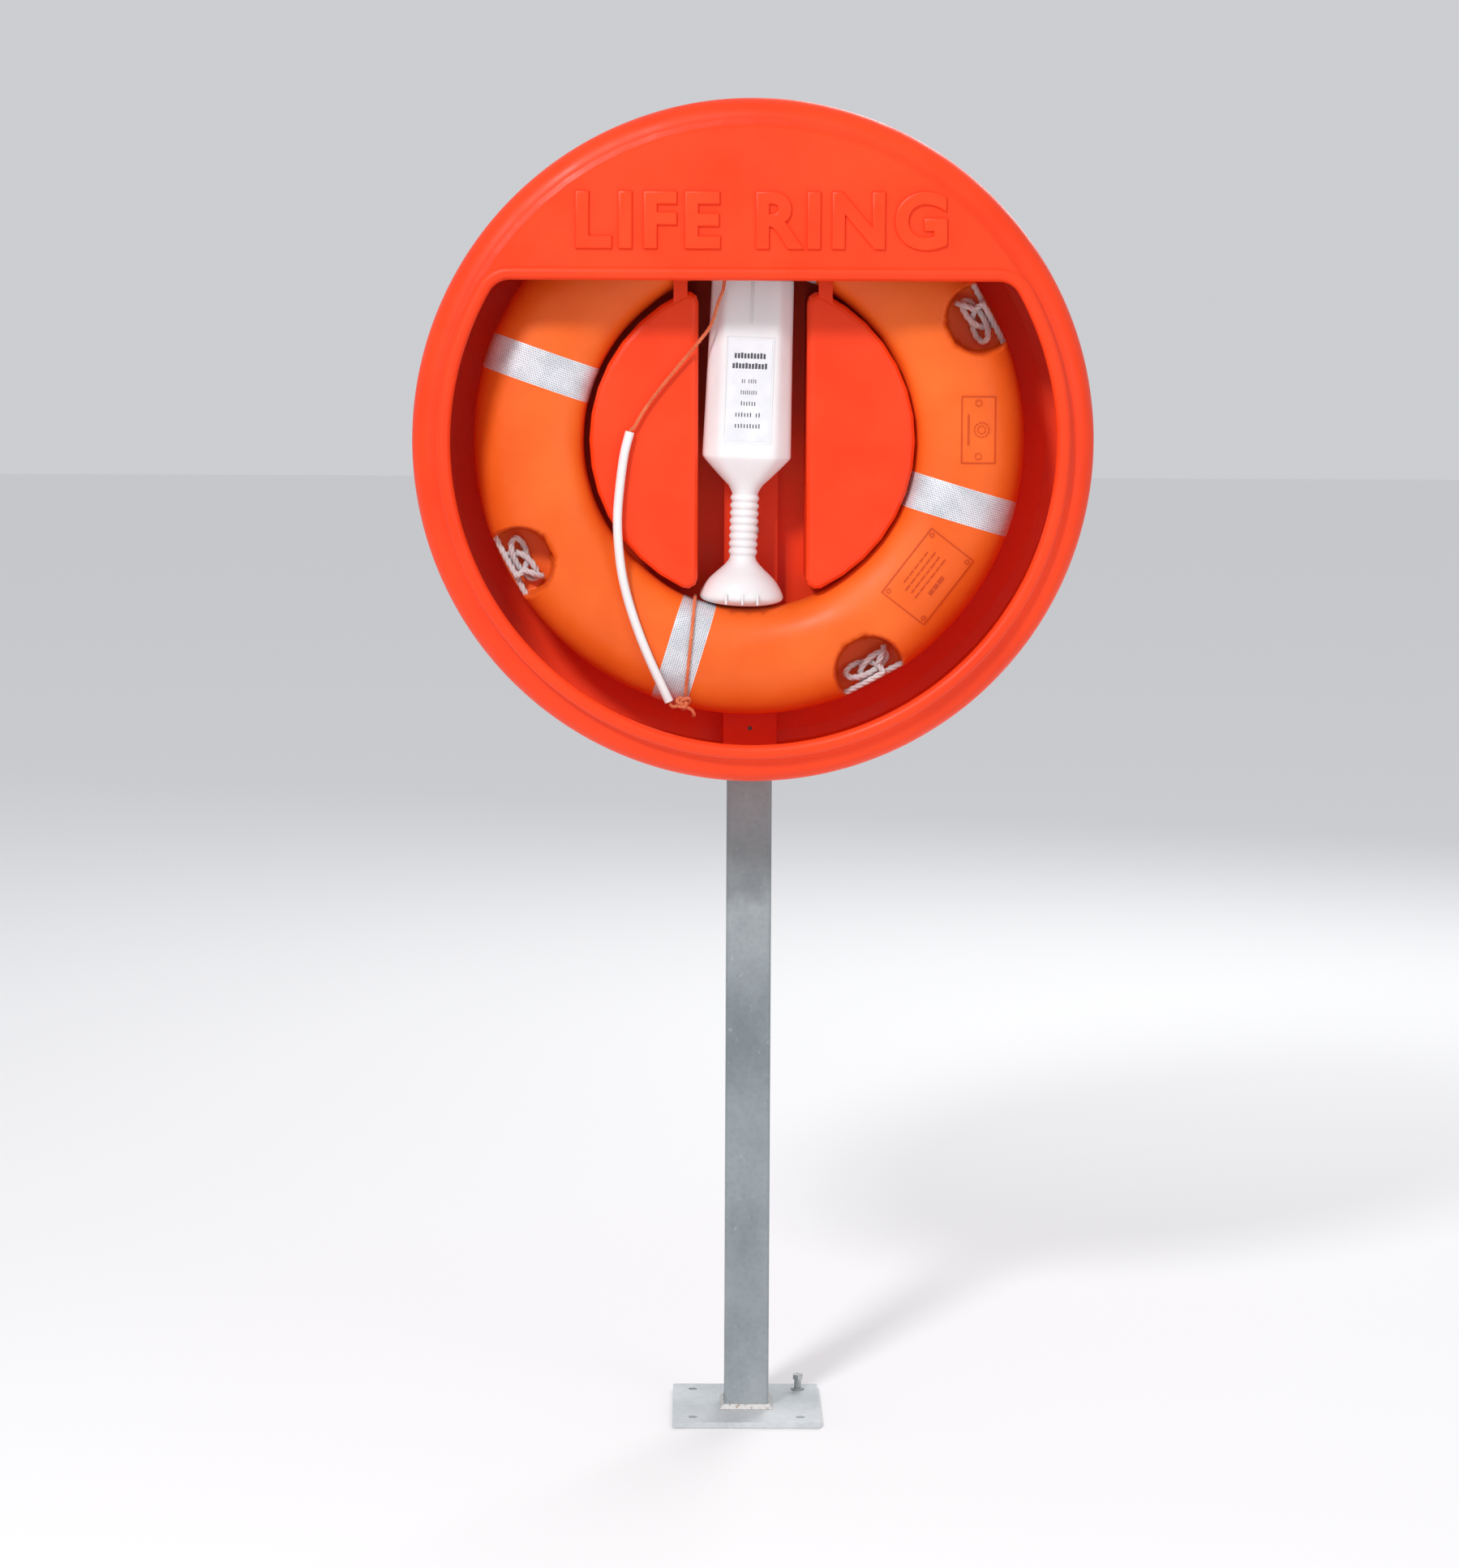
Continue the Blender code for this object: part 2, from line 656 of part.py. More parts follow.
def make_line_holder(white, paper, line):
    bottle = seat_holder(loft("line_holder_bottle", holder_sections(), white))
    hollow = seat_holder(loft("bottle hollow", [
        (0.220, holder_outline(0.0510, 0.0435, 1)),
        (-0.018, holder_outline(0.0552, 0.0435, 1)),
        (-0.058, holder_outline(0.0150, 0.0140, 0))]))
    recess = seat_holder(bar("label recess", (-0.0300, -0.060, -0.003),
                             (0.0305, -0.0450, 0.134)))
    cut(bottle, hollow, recess)

    label = seat_holder(bar("inspection_label", (-0.0295, -0.0458, -0.0025),
                            (0.0300, -0.0453, 0.1335), paper))
    lid = seat_holder(loft("line_holder_lid", [
        (0.2113, holder_outline(0.0520, 0.0450, 1)),
        (0.2088, holder_outline(0.0530, 0.0458, 1)),
        (0.2087, holder_outline(0.0506, 0.0431, 1)),
        (0.1960, holder_outline(0.0504, 0.0429, 1))], white))
    outlet = rod("lid outlet", 0.0045, -0.030, 0.030, sides=12)
    outlet.rotation_euler = (math.radians(33), 0, 0)
    outlet.location = (-0.0305, -0.1262, AXIS_Z + 0.2035)
    cut(lid, outlet)
    pack = seat_holder(loft("line_pack", [
        (0.1800, holder_outline(0.0440, 0.0370, 0.6)),
        (0.1750, holder_outline(0.0490, 0.0415, 0.8)),
        (-0.0130, holder_outline(0.0530, 0.0415, 0.8)),
        (-0.0180, holder_outline(0.0480, 0.0370, 0.6))], line))
    return [bottle, label, lid, pack]


# ---- rescue line ----------------------------------------------------------
OUTLET_ROUTE = (
    (-0.0300, -0.1140, 0.1830), (-0.0302, -0.1212, 0.1950), (-0.0306, -0.1290, 0.2075),
    (-0.0315, -0.1355, 0.2165), (-0.0330, -0.1430, 0.2208), (-0.0348, -0.1505, 0.2180),
    (-0.0360, -0.1540, 0.2110), (-0.0372, -0.1542, 0.2060))
LINE_ROUTE = (
    (-0.0375, -0.1540, 0.2042), (-0.0395, -0.1515, 0.1930), (-0.0449, -0.1468, 0.1795),
    (-0.0542, -0.1440, 0.1504), (-0.0687, -0.1415, 0.1296), (-0.0947, -0.1390, 0.0983),
    (-0.1187, -0.1378, 0.0691), (-0.1396, -0.1378, 0.0408), (-0.1560, -0.1385, 0.0175))
SLEEVE_ROUTE = (
    (-0.1646, -0.1395, 0.0115), (-0.1709, -0.1395, -0.0167), (-0.1739, -0.1400, -0.0585),
    (-0.1749, -0.1420, -0.1005), (-0.1728, -0.1460, -0.1424), (-0.1664, -0.1500, -0.1845),
    (-0.1527, -0.1520, -0.2319), (-0.1336, -0.1522, -0.2814), (-0.1071, -0.1515, -0.3385))
LINE_END = ((-0.1045, -0.1515, -0.3450), (-0.0985, -0.1510, -0.3492))
HITCH_KNOT_AT = (-0.0885, -0.1480, -0.3375)


def stood(route):
    """A route given about the housing's centre, in world coordinates."""
    return [(x, y, AXIS_Z + z) for x, y, z in route]


def hitch_loop_points():
    """The line's loop round the ring's section, beside the foot of the holder."""
    points = []
    clear = 0.0009 + GAP + LINE_RADIUS + 0.0008
    for i in range(22):
        angle = 2 * math.pi * i / 22
        across, along = section_point(
            angle, RING_HALF_WIDTH + clear, RING_HALF_THICK + clear)
        radius = RING_RADIUS + across
        lean = -0.0720 - 0.10 * (radius - 0.215)
        height = -math.sqrt(radius ** 2 - (lean - RING_X) ** 2)
        points.append((lean, -(RING_DEPTH + along), AXIS_Z + height))
    return points


def make_rescue_line(line, white):
    outlet = tube("rescue_line_outlet", smooth_route(stood(OUTLET_ROUTE), 0.005),
                  LINE_RADIUS, line)
    route = smooth_route(stood(SLEEVE_ROUTE), 0.020)
    above = smooth_route(stood(LINE_ROUTE + SLEEVE_ROUTE[:1]), 0.013)
    run = tube("rescue_line", above[:-1] + route + stood(LINE_END), LINE_RADIUS, line)
    sleeve = tube("line_sleeve", route, SLEEVE_RADIUS, white)
    longer = [tuple(2 * Vector(route[0]) - Vector(route[1]))] + route
    longer.append(tuple(2 * Vector(route[-1]) - Vector(route[-2])))
    cut(sleeve, tube("sleeve bore", longer, SLEEVE_BORE))
    loop = tube("hitch_loop", hitch_loop_points(), LINE_RADIUS, line, cyclic=True)
    shape = bmesh.new()
    bmesh.ops.create_uvsphere(shape, u_segments=12, v_segments=8, radius=0.0092)
    mesh = bpy.data.meshes.new("hitch_knot")
    shape.to_mesh(mesh)
    shape.free()
    knot = place("hitch_knot", mesh, line)
    knot.location = stood([HITCH_KNOT_AT])[0]
    return outlet, [run, sleeve, loop, knot]


def shade():
    """Smooth the round surfaces and keep real edges sharp."""
    for obj in PARTS.objects:
        if obj.type == "MESH":
            obj.data.shade_smooth()
            obj.data.set_sharp_from_angle(angle=math.radians(35))


def main():
    steel = make_material("galvanised_steel", (0.46, 0.48, 0.49), 0.45, 0.9)
    bright = make_material("zinc_plated_steel", (0.60, 0.61, 0.60), 0.32, 1.0)
    red = make_material("housing_red", (0.90, 0.072, 0.014), 0.42)
    black = make_material("cap_black", (0.03, 0.03, 0.03), 0.55)
    orange = make_material("ring_orange", (0.88, 0.145, 0.016), 0.40)
    foam = make_material("foam_cream", (0.82, 0.72, 0.50), 0.90)
    silver = make_material("reflective_silver", (0.62, 0.65, 0.68), 0.35, 0.3)
    rope = make_material("rope_white", (0.80, 0.79, 0.76), 0.80)
    white = make_material("holder_white", (0.80, 0.80, 0.80), 0.35)
    paper = make_material("label_white", (0.78, 0.79, 0.79), 0.50)
    line = make_material("line_orange", (0.85, 0.17, 0.05), 0.75)

    make_base_plate(steel)
    make_post(steel)
    make_post_cap(black)
    make_foot_weld(steel)
    make_anchor(bright)
    make_fixings(bright)
    make_housing(red)

    lifebuoy = make_pivot("lifebuoy_pivot", LIFEBUOY_PIVOT)
    holder = make_pivot("line_holder_pivot", HOLDER_PIVOT)
    hang_on(lifebuoy, holder)
    outlet, line_pieces = make_rescue_line(line, white)
    tapes = [make_tape(name, degrees, silver) for name, degrees in TAPE_ANGLES.items()]
    hang_on(lifebuoy, *make_ring(orange, foam, orange), *tapes, *make_grab_line(rope),
            *line_pieces)
    hang_on(holder, *make_line_holder(white, paper, line), outlet)
    shade()


clear_scene()
PARTS = new_collection("lifebuoy_station")
CUTTERS = new_collection("cutters")
main()
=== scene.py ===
# %% [markdown]
# # A ring lifebuoy in its housing
#
# The steel post, the moulded housing, the ring and the line holder come in as
# a fixed frame with working joints. This notebook dresses that frame: it adds
# the soft pieces, such as ropes and tape, gives the moulded pieces their fine
# surface, and paints everything with node materials. Read it from top to
# bottom; each cell prints what it made.

# %% Load the frame
import math

import bmesh
import bpy
from mathutils import Matrix, Vector


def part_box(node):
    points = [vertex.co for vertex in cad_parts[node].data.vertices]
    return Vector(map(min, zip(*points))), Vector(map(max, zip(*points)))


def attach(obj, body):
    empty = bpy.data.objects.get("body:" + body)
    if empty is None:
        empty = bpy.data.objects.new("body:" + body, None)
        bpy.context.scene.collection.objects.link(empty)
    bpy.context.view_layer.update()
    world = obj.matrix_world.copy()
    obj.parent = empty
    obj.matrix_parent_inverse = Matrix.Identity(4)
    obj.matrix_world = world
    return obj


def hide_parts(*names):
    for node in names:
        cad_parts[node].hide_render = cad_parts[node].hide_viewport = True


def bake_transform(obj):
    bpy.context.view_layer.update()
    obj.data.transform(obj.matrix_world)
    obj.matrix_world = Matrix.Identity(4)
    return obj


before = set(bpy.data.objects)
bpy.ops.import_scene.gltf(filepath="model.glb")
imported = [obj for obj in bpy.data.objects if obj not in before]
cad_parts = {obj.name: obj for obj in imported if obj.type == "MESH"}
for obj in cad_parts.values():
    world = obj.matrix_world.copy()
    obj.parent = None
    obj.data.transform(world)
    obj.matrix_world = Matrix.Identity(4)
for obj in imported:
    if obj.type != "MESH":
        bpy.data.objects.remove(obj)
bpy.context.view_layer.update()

# %% [markdown]
# ## Where things are
#
# Nearly every piece hangs round the housing's centre, so its height is the
# first number to keep. The drum is symmetrical, so the middle of its box is
# its centre. The housing faces -Y, and +X is to its right.

# %% The housing's centre
drum_low, drum_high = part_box("housing")
CENTRE_Z = (drum_low.z + drum_high.z) / 2
DRUM_FRONT = drum_low.y
ring_low, ring_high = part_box("ring_shell")
RING_X = (ring_low.x + ring_high.x) / 2
RING_Y = (ring_low.y + ring_high.y) / 2
print(f"centre height {CENTRE_Z:.3f} m, ring middle at x {RING_X:.4f}, y {RING_Y:.4f}")


def from_centre(route):
    """A route given about the housing's centre, as points in the row frame."""
    return [Vector((x, y, CENTRE_Z + z)) for x, y, z in route]


# %% [markdown]
# ## The camera
#
# A station like this is looked at from the pavement, standing about five
# metres back, with the eye a little above the ring. A long lens keeps the
# drum round and the post straight. The camera looks down slightly, so the
# floor plate shows as a shallow shape and the hood hides its own underside.

# %% Set up the camera
lens = bpy.data.cameras.new("eye_level")
lens.lens = 101.73
lens.sensor_width = 36.0
lens.sensor_fit = "HORIZONTAL"
camera = bpy.data.objects.new("eye_level", lens)
bpy.context.scene.collection.objects.link(camera)
pan = Matrix.Rotation(-0.010550, 4, "Z")
tip = Matrix.Rotation(math.radians(90) - 0.116747, 4, "X")
roll = Matrix.Rotation(0.004527, 4, "Z")
camera.matrix_world = Matrix.Translation((-0.0844, -5.5, 1.5050)) @ pan @ tip @ roll
bpy.context.scene.camera = camera
bpy.context.scene.view_settings.view_transform = "Standard"
print("camera at", [round(v, 3) for v in camera.matrix_world.translation])

# %% [markdown]
# ## Node helpers
#
# Every finish here starts from a Principled BSDF and adds three things that
# real surfaces have: patchy colour, uneven gloss and a fine relief. Small
# helpers keep the later cells short. All patterns are read in object
# coordinates, which are metres here, so a scale of 400 means a grain of about
# two and a half millimetres.


# %% Helpers for building a finish
def new_finish(name, colour, roughness, metallic=0.0):
    made = bpy.data.materials.new(name)
    made.use_nodes = True
    shader = made.node_tree.nodes["Principled BSDF"]
    shader.inputs["Base Color"].default_value = (*colour, 1.0)
    shader.inputs["Roughness"].default_value = roughness
    shader.inputs["Metallic"].default_value = metallic
    return made


def dull_sheen(finish, level):
    """Weathered plastic reflects less white light than new plastic."""
    shader_of(finish).inputs["Specular IOR Level"].default_value = level


def add_node(finish, kind, **settings):
    node = finish.node_tree.nodes.new(kind)
    for key, value in settings.items():
        if key in node.inputs:
            node.inputs[key].default_value = value
        else:
            setattr(node, key, value)
    return node


def wire(finish, source, output, target, entry):
    finish.node_tree.links.new(source.outputs[output], target.inputs[entry])


def shader_of(finish):
    return finish.node_tree.nodes["Principled BSDF"]


def places(finish, source="Object", scale=(1, 1, 1), turn=(0, 0, 0)):
    """Coordinates for a pattern, stretched and turned as asked."""
    where = add_node(finish, "ShaderNodeTexCoord")
    mapping = add_node(finish, "ShaderNodeMapping", Scale=scale, Rotation=turn)
    wire(finish, where, source, mapping, "Vector")
    return mapping


def noise(finish, scale, detail=3.0, source="Object", stretch=(1, 1, 1), turn=(0, 0, 0)):
    where = places(finish, source, stretch, turn)
    cloud = add_node(finish, "ShaderNodeTexNoise", Scale=scale, Detail=detail)
    wire(finish, where, "Vector", cloud, "Vector")
    return cloud


def ramp(finish, source, output, stops):
    """A colour ramp driven by a pattern. Stops are (position, colour)."""
    band = add_node(finish, "ShaderNodeValToRGB")
    while len(band.color_ramp.elements) < len(stops):
        band.color_ramp.elements.new(0.5)
    for element, (position, colour) in zip(band.color_ramp.elements, stops):
        element.position = position
        element.color = (*colour, 1.0)
    wire(finish, source, output, band, "Fac")
    return band


def blend_colours(finish, low, high, factor, factor_out="Color", amount=None, kind="MIX"):
    """Mix two colour sources (a node or a plain colour) by a factor node."""
    mix = add_node(finish, "ShaderNodeMix", data_type="RGBA", blend_type=kind)
    for slot, source in ((6, low), (7, high)):
        if isinstance(source, tuple):
            mix.inputs[slot].default_value = (*source, 1.0)
        else:
            out = "Color" if "Color" in source.outputs else 2
            finish.node_tree.links.new(source.outputs[out], mix.inputs[slot])
    if factor is None:
        mix.inputs[0].default_value = amount
    else:
        finish.node_tree.links.new(factor.outputs[factor_out], mix.inputs[0])
    return mix


def paint(finish, source):
    out = "Color" if "Color" in source.outputs else 2
    finish.node_tree.links.new(source.outputs[out], shader_of(finish).inputs["Base Color"])


def cloud_paint(finish, scale, detail, *stops):
    """Paint with a ramp over a cloud pattern, and give the pattern back."""
    cloud = noise(finish, scale, detail)
    paint(finish, ramp(finish, cloud, "Fac", stops))
    return cloud


def emboss(finish, *layers):
    """Stack relief layers: (pattern node, output, depth in metres, strength)."""
    before = None
    for pattern, output, depth, strength in layers:
        relief = add_node(finish, "ShaderNodeBump", Distance=depth, Strength=strength)
        wire(finish, pattern, output, relief, "Height")
        if before:
            wire(finish, before, "Normal", relief, "Normal")
        before = relief
    wire(finish, before, "Normal", shader_of(finish), "Normal")


def uneven_gloss(finish, scale, low, high, detail=4.0):
    cloud = noise(finish, scale, detail)
    spread = add_node(finish, "ShaderNodeMapRange", **{
        "From Min": 0.35, "From Max": 0.65, "To Min": low, "To Max": high})
    wire(finish, cloud, "Fac", spread, "Value")
    wire(finish, spread, "Result", shader_of(finish), "Roughness")


print("finish helpers ready")

# %% [markdown]
# ## Rope
#
# Laid rope is three strands twisted round each other. A plain tube with a
# bump map never catches the light like rope, because the real outline is
# scalloped. So each strand is built as its own thin tube, winding round the
# rope's centreline. The centreline is a smooth curve through a few points,
# walked in even steps, with a frame carried along it so nothing twists by
# accident. Each strand gets UVs, with U along it in metres, for its fibres.


# %% Smooth lines and even steps
def smooth_line(points, spacing, closed=False):
    """Evenly spaced points on a smooth curve through the given ones."""
    knots = [Vector(p) for p in points]
    if closed:
        knots = [knots[-1]] + knots + knots[:2]
    else:
        knots = [2 * knots[0] - knots[1]] + knots + [2 * knots[-1] - knots[-2]]
    dense = []
    for a, b, c, d in zip(knots, knots[1:], knots[2:], knots[3:]):
        for i in range(24):
            t = i / 24
            dense.append(0.5 * ((2 * b) + (c - a) * t
                         + (2 * a - 5 * b + 4 * c - d) * t * t
                         + (3 * b - a - 3 * c + d) * t ** 3))
    dense.append(dense[0].copy() if closed else knots[-2])
    lengths = [0.0]
    for a, b in zip(dense, dense[1:]):
        lengths.append(lengths[-1] + (b - a).length)
    count = max(2, round(lengths[-1] / spacing))
    walked, j = [], 0
    for i in range(count + (0 if closed else 1)):
        target = lengths[-1] * i / count
        while j < len(lengths) - 2 and lengths[j + 1] < target:
            j += 1
        span = lengths[j + 1] - lengths[j]
        t = 0.0 if span < 1e-12 else (target - lengths[j]) / span
        walked.append(dense[j].lerp(dense[j + 1], t))
    return walked


def frames_along(line, closed=False):
    """A (tangent, side, up) frame at each point, carried without twist."""
    count = len(line)
    tangents = []
    for i in range(count):
        before = line[i - 1] if closed or i else line[0]
        after = line[(i + 1) % count] if closed or i < count - 1 else line[-1]
        tangents.append((after - before).normalized())
    side = tangents[0].orthogonal().normalized()
    made = []
    for tangent in tangents:
        side = (side - tangent * side.dot(tangent)).normalized()
        made.append((tangent, side, tangent.cross(side)))
    return made


def length_of(line):
    return sum((b - a).length for a, b in zip(line, line[1:]))


# %% Skin a tube, and lay a rope from three
def new_piece(name, mesh, finish, smooth=True):
    made = bpy.data.objects.new(name, mesh)
    bpy.context.scene.collection.objects.link(made)
    mesh.materials.append(finish)
    if smooth:
        mesh.shade_smooth()
    return made


def piece_from(shape, name, finish, smooth=True, sharp_above=None):
    """Make a piece of a finished shape, with sharp edges above an angle."""
    mesh = bpy.data.meshes.new(name)
    shape.to_mesh(mesh)
    shape.free()
    made = new_piece(name, mesh, finish, smooth)
    if sharp_above:
        mesh.set_sharp_from_angle(angle=math.radians(sharp_above))
    return made


def loft(shape, rows, closed=False, ring=True):
    """Join rows of corners by four-sided faces; a ring row joins its own ends."""
    faces = []
    for row, after in zip(rows, rows[1:] + (rows[:1] if closed else [])):
        for j in range(len(row) if ring else len(row) - 1):
            k = (j + 1) % len(row)
            faces.append(shape.faces.new((row[j], row[k], after[k], after[j])))
    return faces


def skin_tube(shape, uv, line, radius, sides, closed=False, caps=True):
    """Add a tube round a line. The radius may be a number or one per point."""
    frames = frames_along(line, closed)
    rings, along = [], 0.0
    for i, (point, (_, side, up)) in enumerate(zip(line, frames)):
        r = radius[i] if isinstance(radius, list) else radius
        along += (point - line[i - 1]).length if i else 0.0
        ring = []
        for j in range(sides):
            a = 2 * math.pi * j / sides
            ring.append(shape.verts.new(point + side * r * math.cos(a) + up * r * math.sin(a)))
        rings.append((along, ring))
    pairs = list(zip(rings, rings[1:]))
    if closed:
        pairs.append((rings[-1], (along + (line[0] - line[-1]).length, rings[0][1])))
    for (s0, a), (s1, b) in pairs:
        for j in range(sides):
            k = (j + 1) % sides
            face = shape.faces.new((a[j], a[k], b[k], b[j]))
            face.smooth = True
            corners = ((s0, j), (s0, j + 1), (s1, j + 1), (s1, j))
            for loop, (s, v) in zip(face.loops, corners):
                loop[uv].uv = (s, v / sides)
    if caps and not closed:
        shape.faces.new(rings[0][1][::-1])
        shape.faces.new(rings[-1][1])


STRAND_SHARE = 0.54


def lay_rope(name, lines, radius, finish, lay=6.4, sides=6, strands=3):
    """Three strands wound round each centreline. lines: (points, closed)."""
    shape = bmesh.new()
    uv = shape.loops.layers.uv.new("UVMap")
    for line, closed in lines:
        if closed:
            line = line + [line[0]]
        frames = frames_along(line)
        total = length_of(line)
        turns = total / (lay * radius)
        drift = 0.0
        if closed:
            turns = round(turns * strands) / strands
            drift = closing_twist(frames)
        for strand in range(strands):
            path, along = [], 0.0
            for i, (point, (_, side, up)) in enumerate(zip(line, frames)):
                along += (point - line[i - 1]).length if i else 0.0
                share = along / total
                a = 2 * math.pi * (turns * share + strand / strands) + drift * share
                off = side * math.cos(a) + up * math.sin(a)
                path.append(point + off * radius * (1 - STRAND_SHARE))
            skin_tube(shape, uv, path, radius * STRAND_SHARE, sides)
    return piece_from(shape, name, finish)


def closing_twist(frames):
    """How far the carried frame has turned when it comes back to the start."""
    _, side, up = frames[-1]
    first = frames[0][1]
    return math.atan2(first.dot(up), first.dot(side))


print("rope helpers ready")

# %% [markdown]
# ## Rope finishes
#
# White polypropylene rope is slightly translucent and its filaments run
# along each strand, so the relief is stretched noise in the strand's own UVs.
# The rescue line is the same stuff in orange, faded unevenly by the sun.


# %% Fibre finish
def rope_finish(name, dark, light, roughness):
    made = new_finish(name, light, roughness)
    fibres = noise(made, 6.0, 3.0, "UV", (120, 14, 1), (0, 0, 0.35))
    patches = noise(made, 26.0, 2.0)
    worn = ramp(made, patches, "Fac", [(0.36, dark), (0.62, light)])
    streaks = ramp(made, fibres, "Fac", [(0.30, (0.80, 0.80, 0.80)), (0.62, (1, 1, 1))])
    paint(made, blend_colours(made, worn, streaks, None, amount=0.8, kind="MULTIPLY"))
    emboss(made, (fibres, "Fac", 0.0006, 0.7))
    shader_of(made).inputs["Sheen Weight"].default_value = 0.25
    return made


white_rope = rope_finish("white_laid_rope", (0.66, 0.64, 0.66), (0.86, 0.85, 0.84), 0.78)
orange_line = rope_finish("orange_floating_line", (0.80, 0.13, 0.035), (0.92, 0.25, 0.09), 0.72)
print("rope finishes:", white_rope.name, orange_line.name)

# %% [markdown]
# ## The rescue line
#
# The line leaves the lid of the bottle, drops in front of it, and crosses the
# left boss to a white plastic sleeve that gives the rescuer something to
# grip. The sleeve lies over the ring, and below it the line is hitched to the
# ring. The line is a fixed length of limp 5 mm rope, so the route comes first
# and the rope is laid along it.

# %% The line's route, as far as the ring
LINE_DIAMETER = 0.005
LINE_ROUTE = from_centre([
    (-0.0302, -0.1212, 0.1950), (-0.0306, -0.1290, 0.2075), (-0.0315, -0.1355, 0.2165),
    (-0.0330, -0.1430, 0.2208), (-0.0348, -0.1505, 0.2180), (-0.0360, -0.1540, 0.2110),
    (-0.0372, -0.1542, 0.2060), (-0.0395, -0.1515, 0.1930), (-0.0449, -0.1468, 0.1795),
    (-0.0542, -0.1440, 0.1504), (-0.0687, -0.1415, 0.1296), (-0.0947, -0.1390, 0.0983),
    (-0.1187, -0.1378, 0.0691), (-0.1390, -0.1378, 0.0418), (-0.1530, -0.1385, 0.0180)])
SLEEVE_ROUTE = from_centre([
    (-0.1590, -0.1392, 0.0115), (-0.1661, -0.1395, -0.0167), (-0.1718, -0.1400, -0.0585),
    (-0.1749, -0.1420, -0.1005), (-0.1728, -0.1460, -0.1424), (-0.1664, -0.1500, -0.1845),
    (-0.1527, -0.1520, -0.2319), (-0.1336, -0.1522, -0.2814), (-0.1071, -0.1515, -0.3385)])
LINE_END = from_centre([(-0.1040, -0.1512, -0.3440), (-0.0985, -0.1490, -0.3452)])
print("route points:", len(LINE_ROUTE) + len(SLEEVE_ROUTE) + len(LINE_END))

# %% The turn round the ring's section
RING_RADIUS = 0.290
HALF_WIDTH = 0.070
HALF_THICK = 0.0525
SECTION_POWER = 2.5
LINE_OFF_RING = 0.0041
LINE_TURN_X = -0.0735
LINE_TURN_LEAN = 0.10


def section_point(angle, grow=0.0):
    """A point of the ring's section, (outward, forward) from its middle."""
    c, s = math.cos(angle), math.sin(angle)
    power = 2 / SECTION_POWER
    return ((HALF_WIDTH + grow) * math.copysign(abs(c) ** power, c),
            (HALF_THICK + grow) * math.copysign(abs(s) ** power, s))


def ring_point(radius, degrees, forward=0.0):
    a = math.radians(degrees)
    return Vector((RING_X + radius * math.cos(a), RING_Y - forward,
                   CENTRE_Z + radius * math.sin(a)))


def spoke(degrees):
    """Unit vectors out from the ring's middle and along its rim."""
    a = math.radians(degrees)
    return Vector((math.cos(a), 0, math.sin(a))), Vector((-math.sin(a), 0, math.cos(a)))


def turn_round_ring(first, last, count=34):
    """The line's path round the section, leaning a little as it comes forward."""
    points = []
    for i in range(count + 1):
        degrees = first + (last - first) * i / count
        outward, forward = section_point(math.radians(degrees), LINE_OFF_RING)
        radius = RING_RADIUS + outward
        x = LINE_TURN_X - LINE_TURN_LEAN * (radius - 0.215)
        drop = math.sqrt(radius ** 2 - (x - RING_X) ** 2)
        points.append(Vector((x, RING_Y - forward, CENTRE_Z - drop)))
    return points


line_centre = smooth_line(LINE_ROUTE + SLEEVE_ROUTE + LINE_END + turn_round_ring(44, 386),
                          0.0017)
print(f"rescue line: {length_of(line_centre):.3f} m in {len(line_centre)} steps")

# %% Lay the line
rescue_line = lay_rope("rescue_line_rope", [(line_centre, False)], LINE_DIAMETER / 2,
                       orange_line, lay=7.0)
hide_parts("rescue_line", "rescue_line_outlet", "hitch_loop")
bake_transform(rescue_line)
print("rescue line faces:", len(rescue_line.data.polygons))

# %% [markdown]
# ## The grip sleeve
#
# The sleeve is a length of white polyethylene pipe. A pipe has a wall, so the
# tube is skinned twice, outside and bore, and the two skins are joined by
# flat ends. The plastic is a little waxy, which a touch of subsurface gives.


# %% Pipe builder and the sleeve
def pipe(name, line, outer, bore, finish, sides=20):
    shape = bmesh.new()
    uv = shape.loops.layers.uv.new("UVMap")
    skin_tube(shape, uv, line, outer, sides, caps=False)
    outside = list(shape.verts)
    skin_tube(shape, uv, line, bore, sides, caps=False)
    inside = list(shape.verts)[len(outside):]
    for first in (0, len(outside) - sides):
        for j in range(sides):
            k = (j + 1) % sides
            shape.faces.new((outside[first + j], outside[first + k],
                             inside[first + k], inside[first + j]))
    bmesh.ops.recalc_face_normals(shape, faces=shape.faces)
    return piece_from(shape, name, finish, sharp_above=50)


def plastic_finish(name, shade, light, low, high, grain=0.00006, grain_scale=900.0):
    """Moulded plastic: patchy colour, a fine grain and uneven gloss."""
    made = new_finish(name, light, (low + high) / 2)
    cloud_paint(made, 7.0, 4.0, (0.33, shade), (0.66, light))
    skin = noise(made, grain_scale, 2.0)
    ripple = noise(made, 45.0, 2.0)
    emboss(made, (ripple, "Fac", 0.0008, 0.25), (skin, "Fac", grain, 0.55))
    uneven_gloss(made, 14.0, low, high)
    dull_sheen(made, 0.27)
    return made


def waxy(finish, weight, depth):
    """Let light into the plastic a little, as pale polythene does."""
    shader_of(finish).inputs["Subsurface Weight"].default_value = weight
    shader_of(finish).inputs["Subsurface Scale"].default_value = depth


sleeve_plastic = plastic_finish("sleeve_white_polythene", (0.78, 0.77, 0.76),
                                (0.88, 0.875, 0.87), 0.28, 0.42)
waxy(sleeve_plastic, 0.15, 0.004)
sleeve_line = smooth_line(SLEEVE_ROUTE, 0.006)
sleeve = pipe("grip_sleeve", sleeve_line, 0.0060, 0.0040, sleeve_plastic)
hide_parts("line_sleeve")
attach(sleeve, "lifebuoy")
print("sleeve is", round(length_of(sleeve_line), 3), "m long")

